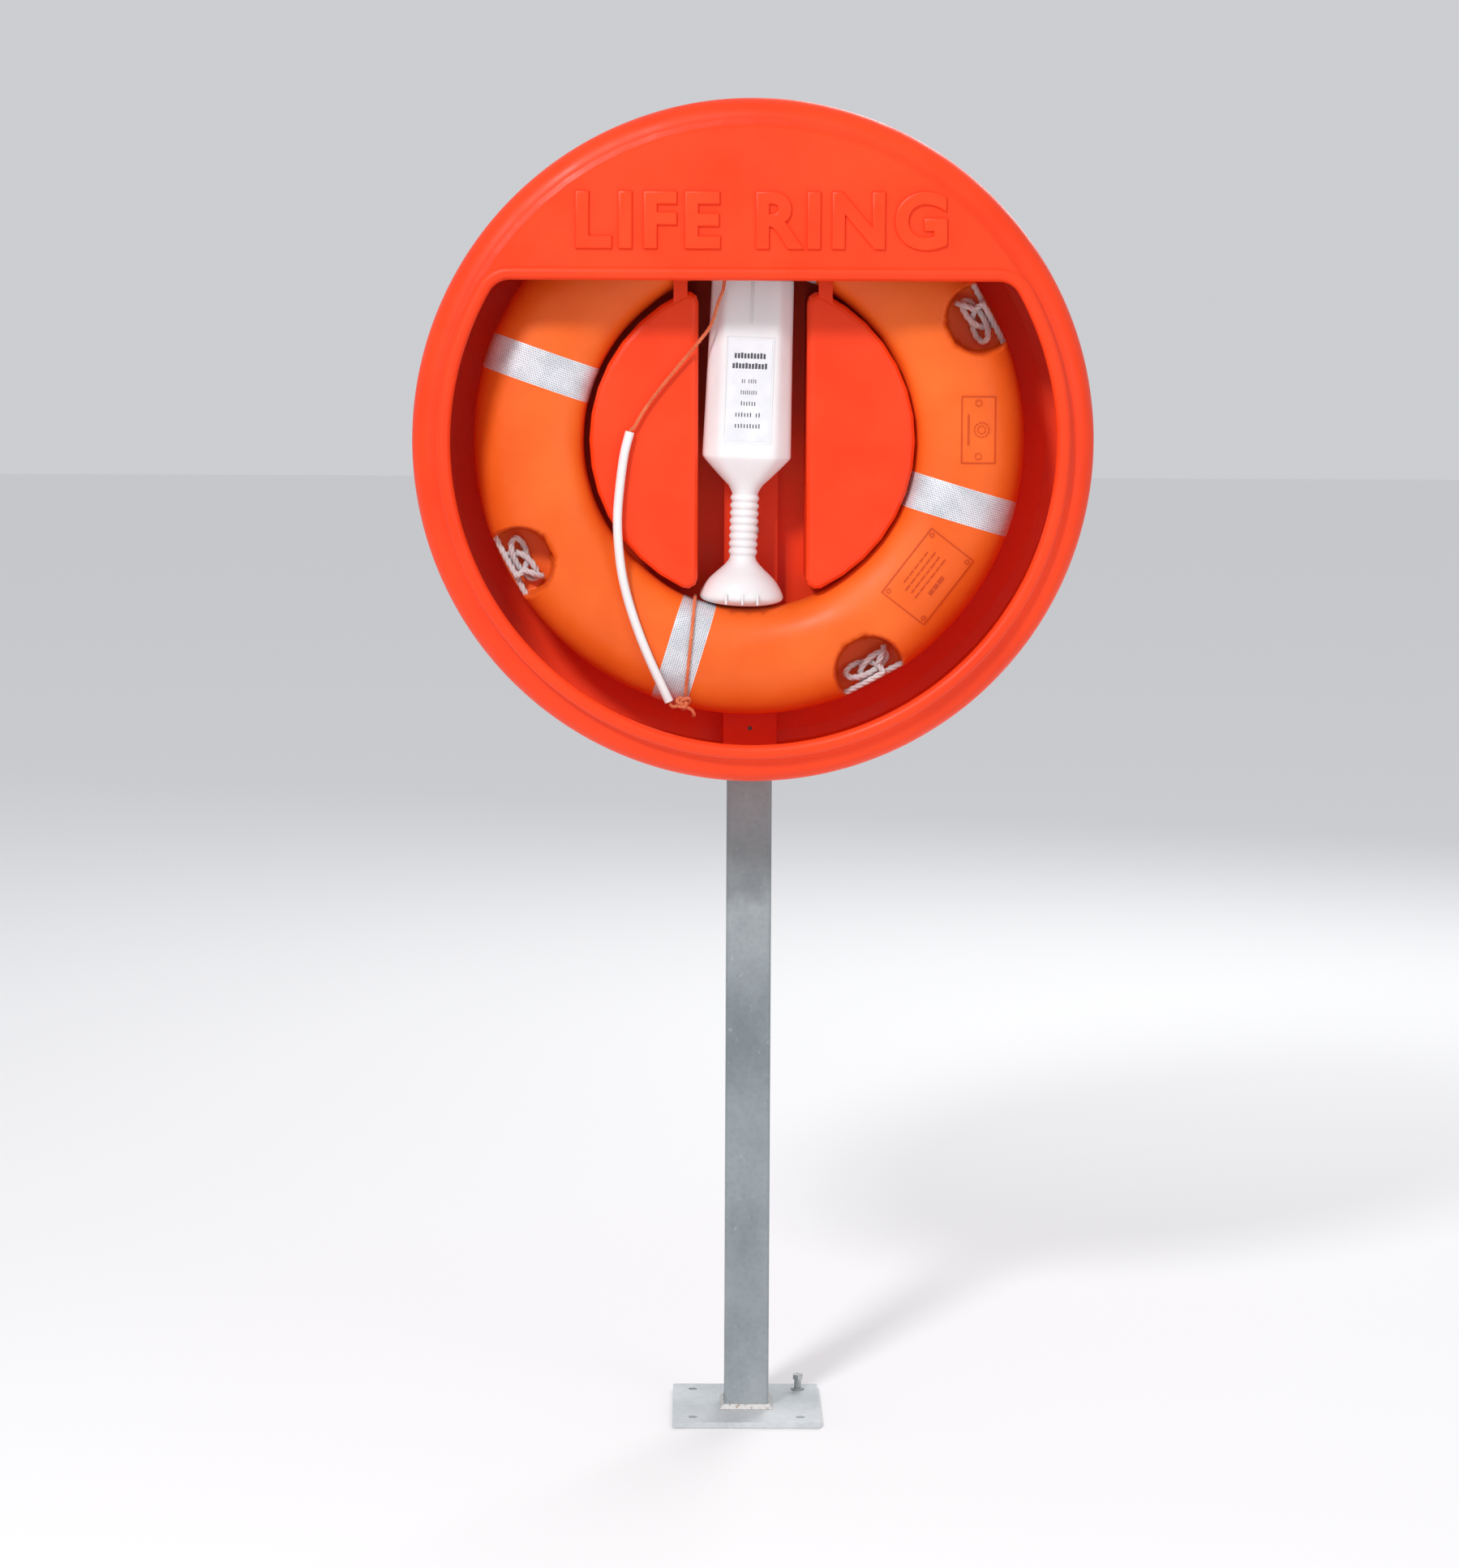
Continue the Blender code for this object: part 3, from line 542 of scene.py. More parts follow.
# %% [markdown]
# ## The hitch knot
#
# The line's turn round the ring comes back to a knot at the front. An
# overhand knot is a trefoil with its ends left open, so the trefoil's formula
# gives the path. The same function makes the grab line's knots later.

# %% An overhand knot, as a path
def overhand(scale, stretch=1.0, start=0.42):
    """An open trefoil: its two ends leave left and right along the bottom."""
    path = []
    steps = 30
    low, high = math.pi + start, 3 * math.pi - start
    for i in range(steps + 1):
        t = low + (high - low) * i / steps
        path.append(Vector((stretch * (math.sin(t) + 2 * math.sin(2 * t)),
                            math.cos(t) - 2 * math.cos(2 * t), -math.sin(3 * t))) * scale)
    return path


def hitch_knot_line():
    middle = from_centre([(-0.0885, -0.1470, -0.3400)])[0]
    loop = [middle + Vector((p.x, -p.z, p.y)) for p in overhand(0.0027, 1.1)]
    lead = [from_centre([(-0.0960, -0.1480, -0.3450)])[0]]
    tail = from_centre([(-0.0805, -0.1490, -0.3478), (-0.0755, -0.1490, -0.3530),
                        (-0.0745, -0.1470, -0.3580)])
    return smooth_line(lead + loop + tail, 0.0016)


hitch_knot = lay_rope("hitch_knot_rope", [(hitch_knot_line(), False)], LINE_DIAMETER / 2,
                      orange_line, lay=7.0)
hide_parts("hitch_knot")
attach(hitch_knot, "lifebuoy")
print("hitch knot:", len(hitch_knot.data.polygons), "faces")

# %% [markdown]
# ## The grab line
#
# A white rope runs in a groove round the ring's rim and is knotted in four
# pockets. It is one rope, so one path is built for it: a knot in each pocket,
# then the run to the next pocket, all the way round. In each pocket the knot
# is an overhand, whose two ends point along the rim.

# %% The grab line's path
POCKET_ANGLES = (28, 118, 208, 298)
ROPE_RADIUS = 0.0044
ROPE_AT = 0.3558
KNOT_SCALE = 0.0062
TAIL_AT = 0.336
FRONTWARD = Vector((0, -1, 0))


def pocket_knot(degrees):
    """The rope's path through one pocket, from clockwise end to the other."""
    outward, along = spoke(degrees)
    base = ring_point(ROPE_AT + 0.0010, degrees, 0.0035)
    path = []
    for p in overhand(KNOT_SCALE, 1.75):
        path.append(base + along * p.x - outward * (p.y + 3 * KNOT_SCALE) + FRONTWARD * p.z)
    first = ring_point(ROPE_AT, degrees - 7.4)
    last = ring_point(ROPE_AT, degrees + 7.4)
    return [first] + path + [last]


def grab_line_path():
    points = []
    for degrees in POCKET_ANGLES:
        points += pocket_knot(degrees)
        points += [ring_point(ROPE_AT, degrees + 8 + 74 * i / 16) for i in range(1, 16)]
    return smooth_line(points, 0.0028, closed=True)


def tail_path(degrees):
    """The short end that sticks out of a knot."""
    outward, along = spoke(degrees)
    base = ring_point(TAIL_AT, degrees, 0.0060)
    shape = [(0.012, 0.004, 0.000), (0.020, -0.003, 0.005), (0.027, -0.009, 0.004),
             (0.032, -0.015, 0.000)]
    points = [base + along * t + outward * r + FRONTWARD * n for t, r, n in shape]
    return smooth_line(points, 0.0028)


# %% Lay the grab line
grab_path = grab_line_path()
ropes = [(grab_path, True)] + [(tail_path(d), False) for d in POCKET_ANGLES]
grab_line = lay_rope("grab_line_rope", ropes, ROPE_RADIUS, white_rope)
corners = ("upper_right", "upper_left", "lower_left", "lower_right")
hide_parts(*[f"grab_line_{c}" for c in corners], *[f"knot_{c}" for c in corners])
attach(grab_line, "lifebuoy")
print(f"grab line: {length_of(grab_path):.2f} m, {len(grab_line.data.polygons)} faces")

# %% [markdown]
# ## The ring's skin
#
# The ring is rotation-moulded polyethylene. Its frame solid has the right
# size but flat facets and sharp pocket edges, and a real moulding has soft
# ones. So the skin is drawn again as a fine grid over two angles, round the
# ring and round its section. The rope groove and the pockets are pressed into
# the grid by moving its points, which leaves the edges gently rounded.


# %% Press a groove and pockets into the section
def smooth_step(low, high, value):
    t = min(1.0, max(0.0, (value - low) / (high - low)))
    return t * t * (3 - 2 * t)


POCKET_AT = 0.340
POCKET_RADIUS = 0.047
POCKET_FLOOR = -0.0105
HOLE_SWELL = 0.0042
GROOVE_DEPTH = 0.0095


def pocket_depth(radius, degrees):
    """0 outside every pocket, 1 inside one, soft at the edge."""
    best = 0.0
    for centre in POCKET_ANGLES:
        turn = math.radians((degrees - centre + 180) % 360 - 180)
        if abs(turn) > 0.25:
            continue
        along = radius * math.sin(turn)
        across = radius * math.cos(turn) - POCKET_AT
        away = math.hypot(along, across)
        best = max(best, 1 - smooth_step(POCKET_RADIUS - 0.0046, POCKET_RADIUS + 0.0004, away))
    return best


def hole_swell(degrees, outward):
    """The moulding swells a little into the hole at its two sides."""
    sides = smooth_step(0.34, 0.72, abs(math.cos(math.radians(degrees))))
    return outward - HOLE_SWELL * sides * smooth_step(0.030, 0.066, -outward)


def groove(outward, forward):
    """How deep the rope groove is here. It runs round the outermost part."""
    return GROOVE_DEPTH * (1 - smooth_step(0.0052, 0.0085, abs(forward))) if outward > 0 else 0.0


def section_angles(steps):
    """Angles round the section, closer together at the rim, where the groove is."""
    shares = [-1 + 2 * i / steps for i in range(steps)]
    return [math.pi * math.copysign(abs(share) ** 1.22, share) for share in shares]


def ring_skin_point(degrees, angle):
    outward, forward = section_point(angle)
    outward = hole_swell(degrees, outward)
    in_pocket = pocket_depth(RING_RADIUS + outward, degrees)
    outward -= groove(outward, forward) * (1 - in_pocket)
    if forward > POCKET_FLOOR:
        forward += (POCKET_FLOOR - forward) * in_pocket
    return ring_point(RING_RADIUS + outward, degrees, forward)


# %% Build the ring's skin
def ring_angles():
    near = [c + d for c in POCKET_ANGLES for d in [i * 0.42 - 10.08 for i in range(49)]]
    far = [a * 1.5 for a in range(240)
           if all(abs((a * 1.5 - c + 180) % 360 - 180) > 10.4 for c in POCKET_ANGLES)]
    return sorted(round(a % 360, 4) for a in near + far)


def build_ring_skin(finish, steps=132):
    shape = bmesh.new()
    rows = [[shape.verts.new(ring_skin_point(d, a)) for a in section_angles(steps)]
            for d in ring_angles()]
    loft(shape, rows, closed=True)
    bmesh.ops.recalc_face_normals(shape, faces=shape.faces)
    return piece_from(shape, "ring_skin", finish)


ring_plastic = plastic_finish("ring_orange_polythene", (0.80, 0.110, 0.010),
                              (0.90, 0.155, 0.018), 0.34, 0.50)
ring_skin = build_ring_skin(ring_plastic)
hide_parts("ring_shell")
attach(ring_skin, "lifebuoy")
print("ring skin faces:", len(ring_skin.data.polygons))

# %% [markdown]
# ## Reflective tape
#
# Each band is a strip of prismatic film wrapped once round the section. It
# follows the rope groove, and its honeycomb shows as pale lines between
# silver cells. The strip is a loft of the same section, a fraction of a
# millimetre proud, straight-sided because tape doesn't taper. UVs in metres
# make the honeycomb a brick pattern with half-shifted rows.

# %% The band's finish
TAPE_ANGLES = {"left": 161, "bottom": 253, "right": 343.5, "top": 73}
TAPE_WIDTH = 0.050


def tape_finish():
    made = new_finish("prismatic_silver_tape", (0.62, 0.65, 0.69), 0.34, 0.25)
    where = places(made, "UV")
    cells = add_node(made, "ShaderNodeTexBrick", Scale=1.0, **{
        "Color1": (0.36, 0.40, 0.47, 1), "Color2": (0.50, 0.54, 0.60, 1),
        "Mortar": (0.86, 0.88, 0.90, 1), "Mortar Size": 0.00065, "Mortar Smooth": 0.3,
        "Brick Width": 0.0034, "Row Height": 0.0028})
    wire(made, where, "Vector", cells, "Vector")
    scuffs = noise(made, 30.0, 4.0)
    worn = ramp(made, scuffs, "Fac", [(0.40, (0.78, 0.79, 0.80)), (0.58, (1, 1, 1))])
    paint(made, blend_colours(made, cells, worn, None, amount=0.7, kind="MULTIPLY"))
    wrinkles = noise(made, 60.0, 2.0)
    emboss(made, (wrinkles, "Fac", 0.0006, 0.25), (cells, "Fac", 0.00015, 0.5))
    uneven_gloss(made, 25.0, 0.28, 0.45)
    return made


silver_tape = tape_finish()


# %% Wrap the bands
def wrap_band(name, degrees, proud=0.00045, steps=120, across=9):
    outward_dir, along_dir = spoke(degrees)
    shape = bmesh.new()
    uv = shape.loops.layers.uv.new("UVMap")
    rows = []
    for angle in section_angles(steps):
        row = []
        for j in range(across + 1):
            side = TAPE_WIDTH * (j / across - 0.5)
            edge = 1.0 if 0 < j < across else 0.0
            outward, forward = section_point(angle, proud * edge - 0.0002 * (1 - edge))
            outward -= groove(outward, forward)
            radius = RING_RADIUS + hole_swell(degrees, outward)
            reach = math.sqrt(radius ** 2 - side ** 2)
            place = Vector((RING_X, RING_Y - forward, CENTRE_Z))
            row.append(shape.verts.new(place + outward_dir * reach + along_dir * side))
        rows.append(row)
    walked = [0.0]
    for a_row, b_row in zip(rows, rows[1:] + rows[:1]):
        walked.append(walked[-1] + (b_row[4].co - a_row[4].co).length)
    for number, face in enumerate(loft(shape, rows, closed=True, ring=False)):
        i, j = divmod(number, across)
        corner = ((i, j), (i, j + 1), (i + 1, j + 1), (i + 1, j))
        for loop, (u, v) in zip(face.loops, corner):
            loop[uv].uv = (walked[u], TAPE_WIDTH * v / across)
    bmesh.ops.recalc_face_normals(shape, faces=shape.faces)
    return piece_from(shape, name, silver_tape)


for name, degrees in TAPE_ANGLES.items():
    band = wrap_band(f"tape_band_{name}", degrees)
    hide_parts(f"tape_{name}")
    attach(band, "lifebuoy")
    print(band.name, "at", degrees, "degrees")

# %% [markdown]
# ## Moulded plates on the ring
#
# Two shallow plates are moulded into the ring's face: a small one with a date
# dial and a larger one with rows of wording. Here the wording is plain bars.
# Each mark is a thin ridge that follows the ring's curved face, so one helper
# lays a flat rectangle of the plate's own coordinates over the skin.


# %% Lay a flat mark over the ring's face
def face_forward(x, z):
    """How far the ring's face stands in front of its middle at a place."""
    outward = math.hypot(x - RING_X, z - CENTRE_Z) - RING_RADIUS
    inside = 1 - abs(outward / HALF_WIDTH) ** SECTION_POWER
    return HALF_THICK * max(inside, 0.0) ** (1 / SECTION_POWER)


def drape(plate, outline, proud):
    """A raised flat-topped mark with the given outline, on the ring's face."""
    shape, origin, across, up = plate
    low, high = [], []
    for u, v in outline:
        x, z = origin.x + across.x * u + up.x * v, origin.z + across.z * u + up.z * v
        y = RING_Y - face_forward(x, z)
        low.append(shape.verts.new((x, y + 0.0004, z)))
        high.append(shape.verts.new((x, y - proud, z)))
    shape.faces.new(high)
    shape.faces.new(low[::-1])
    loft(shape, [low, high])


def bar_strip(plate, start, end, width, proud):
    """A thin ridge from one plate point to another, in short draped steps."""
    a, b = Vector(start), Vector(end)
    count = max(1, round((b - a).length / 0.007))
    side = Vector((-(b - a).y, (b - a).x)).normalized() * width / 2
    for i in range(count):
        p, q = a.lerp(b, i / count), a.lerp(b, (i + 1) / count)
        drape(plate, [p - side, q - side, q + side, p + side], proud)


def plate_piece(name, centre, tilt, draw):
    shape = bmesh.new()
    across, up = spoke(tilt)
    draw((shape, centre, across, up))
    bmesh.ops.recalc_face_normals(shape, faces=shape.faces)
    made = piece_from(shape, name, plate_plastic, smooth=False)
    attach(made, "lifebuoy")
    print(name, len(made.data.polygons), "faces")
    return made


# %% The two plates
plate_plastic = plastic_finish("plate_orange_grimy", (0.50, 0.050, 0.006), (0.66, 0.080, 0.010),
                               0.40, 0.55)


def frame_lines(plate, w, h):
    ends = [(-w, -h), (w, -h), (w, h), (-w, h)]
    for a, b in zip(ends, ends[1:] + ends[:1]):
        bar_strip(plate, a, b, 0.0013, 0.0013)


def round_mark(plate, centre, radius, ticks):
    cx, cy = centre
    for i in range(ticks):
        a, b = 2 * math.pi * i / ticks, 2 * math.pi * (i + 0.7) / ticks
        inner, outer = radius - 0.0006, radius + 0.0006
        corner = [(cx + r * math.cos(t), cy + r * math.sin(t))
                  for r, t in ((inner, a), (outer, a), (outer, b), (inner, b))]
        drape(plate, corner, 0.0012)


def small_plate(plate):
    frame_lines(plate, 0.0218, 0.0430)
    round_mark(plate, (0.004, 0.0), 0.0095, 12)
    round_mark(plate, (0.004, 0.0), 0.0050, 7)
    for y in (-0.0345, 0.0345):
        round_mark(plate, (0.0, y), 0.0042, 6)
    bar_strip(plate, (-0.0130, -0.020), (-0.0130, 0.020), 0.0024, 0.0011)


def large_plate(plate):
    frame_lines(plate, 0.0525, 0.0350)
    rows = ((0.020, 0.62, 0.0016), (0.012, 0.80, 0.0016), (0.004, 0.74, 0.0016),
            (-0.004, 0.80, 0.0016), (-0.016, 0.42, 0.0050))
    for y, share, height in rows:
        reach, x = 0.040 * share, -0.040 * share
        while x < reach - 0.004:
            word = 0.006 + 0.004 * abs(math.sin(x * 900 + y * 400))
            end = min(x + word, reach)
            bar_strip(plate, (x, y), (end, y), height, 0.0010)
            x = end + 0.0018
    for x, y in ((-0.046, 0.029), (0.046, 0.029), (-0.046, -0.029), (0.046, -0.029)):
        round_mark(plate, (x, y), 0.0028, 5)


plate_piece("moulded_plate_small", from_centre([(0.2927, 0, 0.0160)])[0], 0.0, small_plate)
plate_piece("moulded_plate_large", from_centre([(0.2289, 0, -0.1748)])[0], 52.5, large_plate)

# %% [markdown]
# ## The line holder
#
# The bottle is blow-moulded: an eight-sided body, a ribbed grip and a flared
# foot. Each level of it is an outline made from a few flat sides. Treating
# the sides as half planes and adding their powers gives an outline whose
# corners are as soft as the power is low: 2 gives an oval, 26 a crisp
# octagon. So one formula covers body, grip and foot.

# %% Outline of the bottle at one level
HOLDER_X = -0.0065
HOLDER_Y = -0.0925
HOLDER_LEAN = math.radians(1.83)
FOOT_DROP = 0.0026


def bottle_outline(half_width, half_depth, power, count=72):
    flat = min(0.0355, half_width * 0.66)
    low = half_depth * 0.5
    slope = Vector((half_depth - low, half_width - flat))
    reach = slope.dot(Vector((half_width, low))) / slope.length
    slope.normalize()
    sides = [(1, 0, half_width), (0, 1, half_depth)]
    if power > 3:
        sides.append((slope.x, slope.y, reach))
    points = []
    for i in range(count):
        a = 2 * math.pi * i / count
        c, s = abs(math.cos(a)), abs(math.sin(a))
        total = sum((max(c * nx + s * ny, 0.0) / d) ** power for nx, ny, d in sides)
        radius = total ** (-1 / power)
        points.append((radius * math.cos(a), radius * math.sin(a)))
    return points


# %% Levels of the bottle, from the top down
def bottle_levels():
    levels = [(0.2085, 0.0520, 0.0445, 20), (0.2070, 0.0535, 0.0458, 24),
              (0.1500, 0.0544, 0.0460, 26), (0.0600, 0.0560, 0.0460, 26),
              (-0.0170, 0.0579, 0.0460, 26), (-0.0205, 0.0580, 0.0459, 24),
              (-0.0225, 0.0572, 0.0452, 22), (-0.0260, 0.0545, 0.0430, 20),
              (-0.0380, 0.0435, 0.0348, 14), (-0.0500, 0.0322, 0.0270, 9),
              (-0.0590, 0.0236, 0.0215, 5), (-0.0640, 0.0196, 0.0192, 2),
              (-0.0680, 0.0176, 0.0176, 2)]
    ribs, top, bottom = 8, -0.0710, -0.1510
    for i in range(ribs * 8 + 1):
        t = i / (ribs * 8)
        wave = 0.5 - 0.5 * math.cos(2 * math.pi * t * ribs)
        radius = 0.0166 + 0.0024 * wave ** 0.7
        levels.append((top + (bottom - top) * t, radius, radius, 2))
    levels += [(-0.1545, 0.0174, 0.0174, 2), (-0.1580, 0.0190, 0.0187, 2),
               (-0.1625, 0.0226, 0.0216, 2), (-0.1680, 0.0286, 0.0262, 2),
               (-0.1740, 0.0360, 0.0322, 2), (-0.1800, 0.0425, 0.0374, 2),
               (-0.1860, 0.0474, 0.0412, 2), (-0.1920, 0.0512, 0.0438, 2),
               (-0.1970, 0.0537, 0.0454, 2), (-0.2005, 0.0548, 0.0460, 2),
               (-0.2035, 0.0548, 0.0459, 2), (-0.2060, 0.0533, 0.0446, 2),
               (-0.2082, 0.0500, 0.0420, 2), (-0.2104, 0.0440, 0.0370, 2),
               (-0.2124, 0.0352, 0.0296, 2), (-0.2140, 0.0235, 0.0198, 2),
               (-0.2148, 0.0110, 0.0093, 2)]
    return levels


def seat_in_ring(piece):
    piece.matrix_world = (Matrix.Translation((HOLDER_X, HOLDER_Y, CENTRE_Z))
                          @ Matrix.Rotation(HOLDER_LEAN, 4, "Y"))
    return piece


# %% Build the bottle
holder_plastic = plastic_finish("holder_white_polythene", (0.78, 0.77, 0.78),
                                (0.87, 0.865, 0.87), 0.30, 0.45)
waxy(holder_plastic, 0.12, 0.006)


def ridge(shape, low, high):
    """A small raised rib with bevelled edges between two corners."""
    made = bmesh.ops.create_cube(shape, size=1.0)["verts"]
    size = [b - a for a, b in zip(low, high)]
    bmesh.ops.scale(shape, vec=size, verts=made)
    bmesh.ops.translate(shape, vec=[(a + b) / 2 for a, b in zip(low, high)], verts=made)
    edges = {e for v in made for e in v.link_edges}
    bmesh.ops.bevel(shape, geom=list(edges), offset=min(size) * 0.3, segments=2,
                    profile=0.5, affect="EDGES")


def build_bottle():
    shape = bmesh.new()
    levels = [(z, bottle_outline(a, b, p)) for z, a, b, p in bottle_levels()]
    rings = [[shape.verts.new((x, y, z)) for x, y in outline] for z, outline in levels]
    loft(shape, rings)
    shape.faces.new(rings[-1])
    shape.faces.new(rings[0][::-1])
    for x in (-0.0012, 0.0012):
        ridge(shape, (x - 0.0006, -0.0469, 0.152), (x + 0.0006, -0.0452, 0.205))
    for x in (-0.0203, 0.0010, 0.0207):
        ridge(shape, (x - 0.0013, -0.0480, -0.2105), (x + 0.0013, -0.0360, -0.1960))
    for corner in shape.verts:
        corner.co.z -= FOOT_DROP * smooth_step(0.155, 0.200, -corner.co.z)
    bmesh.ops.recalc_face_normals(shape, faces=shape.faces)
    return seat_in_ring(piece_from(shape, "bottle_skin", holder_plastic, sharp_above=38))


bottle = build_bottle()
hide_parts("line_holder_bottle")
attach(bottle, "line_holder")
print("bottle faces:", len(bottle.data.polygons))

# %% [markdown]
# ## The inspection label
#
# A paper-backed film label sits in a shallow frame on the bottle's front. The
# wording is replaced by plain bars: two heavy rows and five light ones, each
# broken into words. Ink is a thin layer, so the bars stand a hair proud.

# %% Label, frame and bars
label_film = new_finish("label_film", (0.78, 0.79, 0.83), 0.42)
cloud_paint(label_film, 40.0, 3.0, (0.3, (0.74, 0.75, 0.79)), (0.7, (0.82, 0.83, 0.86)))
emboss(label_film, (noise(label_film, 700.0, 2.0), "Fac", 0.00005, 0.5))
label_ink = new_finish("label_ink", (0.045, 0.047, 0.055), 0.55)
cloud_paint(label_ink, 900.0, 2.0, (0.35, (0.03, 0.032, 0.04)), (0.7, (0.10, 0.105, 0.12)))


def boxes(name, corners_list, finish):
    shape = bmesh.new()
    for low, high in corners_list:
        ridge(shape, low, high)
    return seat_in_ring(piece_from(shape, name, finish, smooth=False))


def bar_rows():
    rows = [(0.1099, 0.0207, 0.0066, 0.30, (10,)), (0.0968, 0.0230, 0.0066, 0.30, (11,)),
            (0.0773, 0.0101, 0.0050, 0.62, (2, 4)), (0.0627, 0.0110, 0.0050, 0.62, (8,)),
            (0.0483, 0.0103, 0.0050, 0.62, (6,)), (0.0337, 0.0169, 0.0050, 0.62, (6, 2)),
            (0.0193, 0.0172, 0.0050, 0.62, (9,))]
    made = []
    for z, half, tall, gap, words in rows:
        cells = sum(words) + len(words) - 1
        pitch = 2 * half / cells
        for i in range(cells):
            if len(words) > 1 and i == words[0]:
                continue
            x = -half + pitch * i
            rise = tall * (0.5 if (i * 7 + int(z * 1e4)) % 3 else 0.62)
            made.append(((x, -0.04675, z - tall / 2), (x + pitch * (1 - gap), -0.04655, z + rise)))
    return made


label = boxes("inspection_label_film", [((-0.0280, -0.0466, -0.001), (0.0280, -0.0458, 0.131))],
              label_film)
frame_sides = [((-0.0311, -0.0469, -0.003), (-0.0303, -0.0455, 0.134)),
               ((0.0297, -0.0469, -0.003), (0.0305, -0.0455, 0.134)),
               ((-0.0305, -0.0468, -0.0038), (0.0300, -0.0456, -0.0030)),
               ((-0.0305, -0.0468, 0.1334), (0.0300, -0.0456, 0.1342))]
label_frame = boxes("label_frame", frame_sides, holder_plastic)
label_bars = boxes("label_bars", bar_rows(), label_ink)
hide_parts("inspection_label")
for piece, slot_name in ((label, "label_white"), (label_frame, "holder_white"),
                         (label_bars, "label_white")):
    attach(piece, "line_holder")
print("label bars:", len(bar_rows()))

# %% [markdown]
# ## Raised lettering on the hood
#
# The hood carries moulded capitals about 66 mm high and 5 mm proud, with
# sloping edges. A text object does this directly: it has an extrusion, a
# bevel and a thickness offset. It is turned into a mesh so that it no longer
# depends on a font.

# %% Make the lettering
housing_plastic = plastic_finish("housing_red_polythene", (0.86, 0.044, 0.005),
                                 (0.94, 0.056, 0.007), 0.36, 0.52, 0.00008, 700.0)


def raised_words(text, height, width, proud):
    curve = bpy.data.curves.new("hood_lettering", "FONT")
    curve.body = text
    curve.align_x = "CENTER"
    curve.size = height / 0.70
    curve.offset = 0.0016
    curve.extrude = proud * 0.5
    curve.bevel_depth = proud * 0.45
    curve.bevel_resolution = 1
    curve.resolution_u = 8
    draft = bpy.data.objects.new("lettering draft", curve)
    bpy.context.scene.collection.objects.link(draft)
    bpy.context.view_layer.update()
    curve.space_character = 1 + (width - draft.dimensions.x) / draft.dimensions.x * 1.1
    bpy.context.view_layer.update()
    graph = bpy.context.evaluated_depsgraph_get()
    mesh = bpy.data.meshes.new_from_object(draft.evaluated_get(graph))
    bpy.data.objects.remove(draft, do_unlink=True)
    return mesh


letters_mesh = raised_words("LIFE RING", 0.066, 0.470, 0.0056)
letters = new_piece("hood_lettering", letters_mesh, housing_plastic)
letters_mesh.set_sharp_from_angle(angle=math.radians(40))
letters.matrix_world = (Matrix.Translation((0.008, DRUM_FRONT + 0.0004, CENTRE_Z + 0.250))
                        @ Matrix.Rotation(math.radians(90), 4, "X"))
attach(letters, "station")
print("lettering size:", [round(v, 3) for v in letters.dimensions])

# %% [markdown]
# ## The drum's outside
#
# The frame's drum is turned in sixty flat steps, which show as stripes on a
# glossy side. A thin skin turned in many more steps lies half a millimetre
# over it and hides them. At the bottom of the heel the skin leaves a gap,
# because the post comes out of the drum there.

# %% Turn a thin skin over the drum
DRUM_RADIUS = (drum_high.x - drum_low.x) / 2
SKIN_PROUD = 0.0005
SKIN_THICK = 0.0014


def arc_profile(radius, depth, size, first, last, count):
    """Part of a circle in the (radius, depth) plane, angles from the axis."""
    made = []
    for i in range(count + 1):
        a = math.radians(first + (last - first) * i / count)
        made.append((radius + size * math.sin(a), depth + size * math.cos(a)))
    return made


def turn_skin(name, outer, inner, gap_degrees, steps):
    """Turn a closed thin profile; a gap at the bottom leaves two end caps."""
    loop = outer + inner[::-1]
    shape = bmesh.new()
    rows = []
    for i in range(steps if gap_degrees == 0 else steps + 1):
        a = math.radians(-90 + gap_degrees + (360 - 2 * gap_degrees) * i / steps)
        rows.append([shape.verts.new((r * math.cos(a), -d, CENTRE_Z + r * math.sin(a)))
                     for r, d in loop])
    if gap_degrees:
        shape.faces.new(rows[0])
        shape.faces.new(rows[-1][::-1])
    loft(shape, rows, closed=gap_degrees == 0)
    bmesh.ops.recalc_face_normals(shape, faces=shape.faces)
    made = piece_from(shape, name, housing_plastic, sharp_above=40)
    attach(made, "station")
    print(name, "faces:", len(made.data.polygons))


def skin_profiles(depth, corner, first, last):
    centre, size = DRUM_RADIUS - corner, corner + SKIN_PROUD
    return (arc_profile(centre, depth, size, first, last, 14),
            arc_profile(centre, depth, size - SKIN_THICK, first, last, 14))


shoulder_out, shoulder_in = skin_profiles(0.1925, 0.028, 2, 90)
heel_out, heel_in = skin_profiles(0.045, 0.045, 90, 178)
turn_skin("drum_skin", shoulder_out + heel_out[:1], shoulder_in + heel_in[:1], 0, 240)
turn_skin("heel_skin", heel_out, heel_in, 4.9, 240)

# %% [markdown]
# ## The rolled lip
#
# The edge of the opening is rolled into a bead, so nobody cuts a hand on it.
# The bead stands a little proud of the drum's face and catches a long
# highlight. It follows a circle cut by a straight line, with round corners
# where the two meet, so the path is three kinds of arc joined end to end.

# %% The opening's outline, and a bead along it
LIP_RADIUS = 0.396
LIP_CHORD = 0.2155
LIP_CORNER = 0.038


def lip_outline(depth):
    low = LIP_CHORD - LIP_CORNER
    side = math.sqrt((LIP_RADIUS - LIP_CORNER) ** 2 - low ** 2)
    turn = math.atan2(low, side)
    flat = [(-side + 2 * side * i / 40, LIP_CHORD) for i in range(40)]

    def arc(x, z, radius, first, last, count):
        for i in range(count):
            a = first + (last - first) * i / count
            flat.append((x + radius * math.cos(a), z + radius * math.sin(a)))

    arc(side, low, LIP_CORNER, math.pi / 2, turn, 8)
    arc(0, 0, LIP_RADIUS, turn, -math.pi - turn, 150)
    arc(-side, low, LIP_CORNER, math.pi - turn, math.pi / 2, 8)
    return [Vector((x, -depth, CENTRE_Z + z)) for x, z in flat]


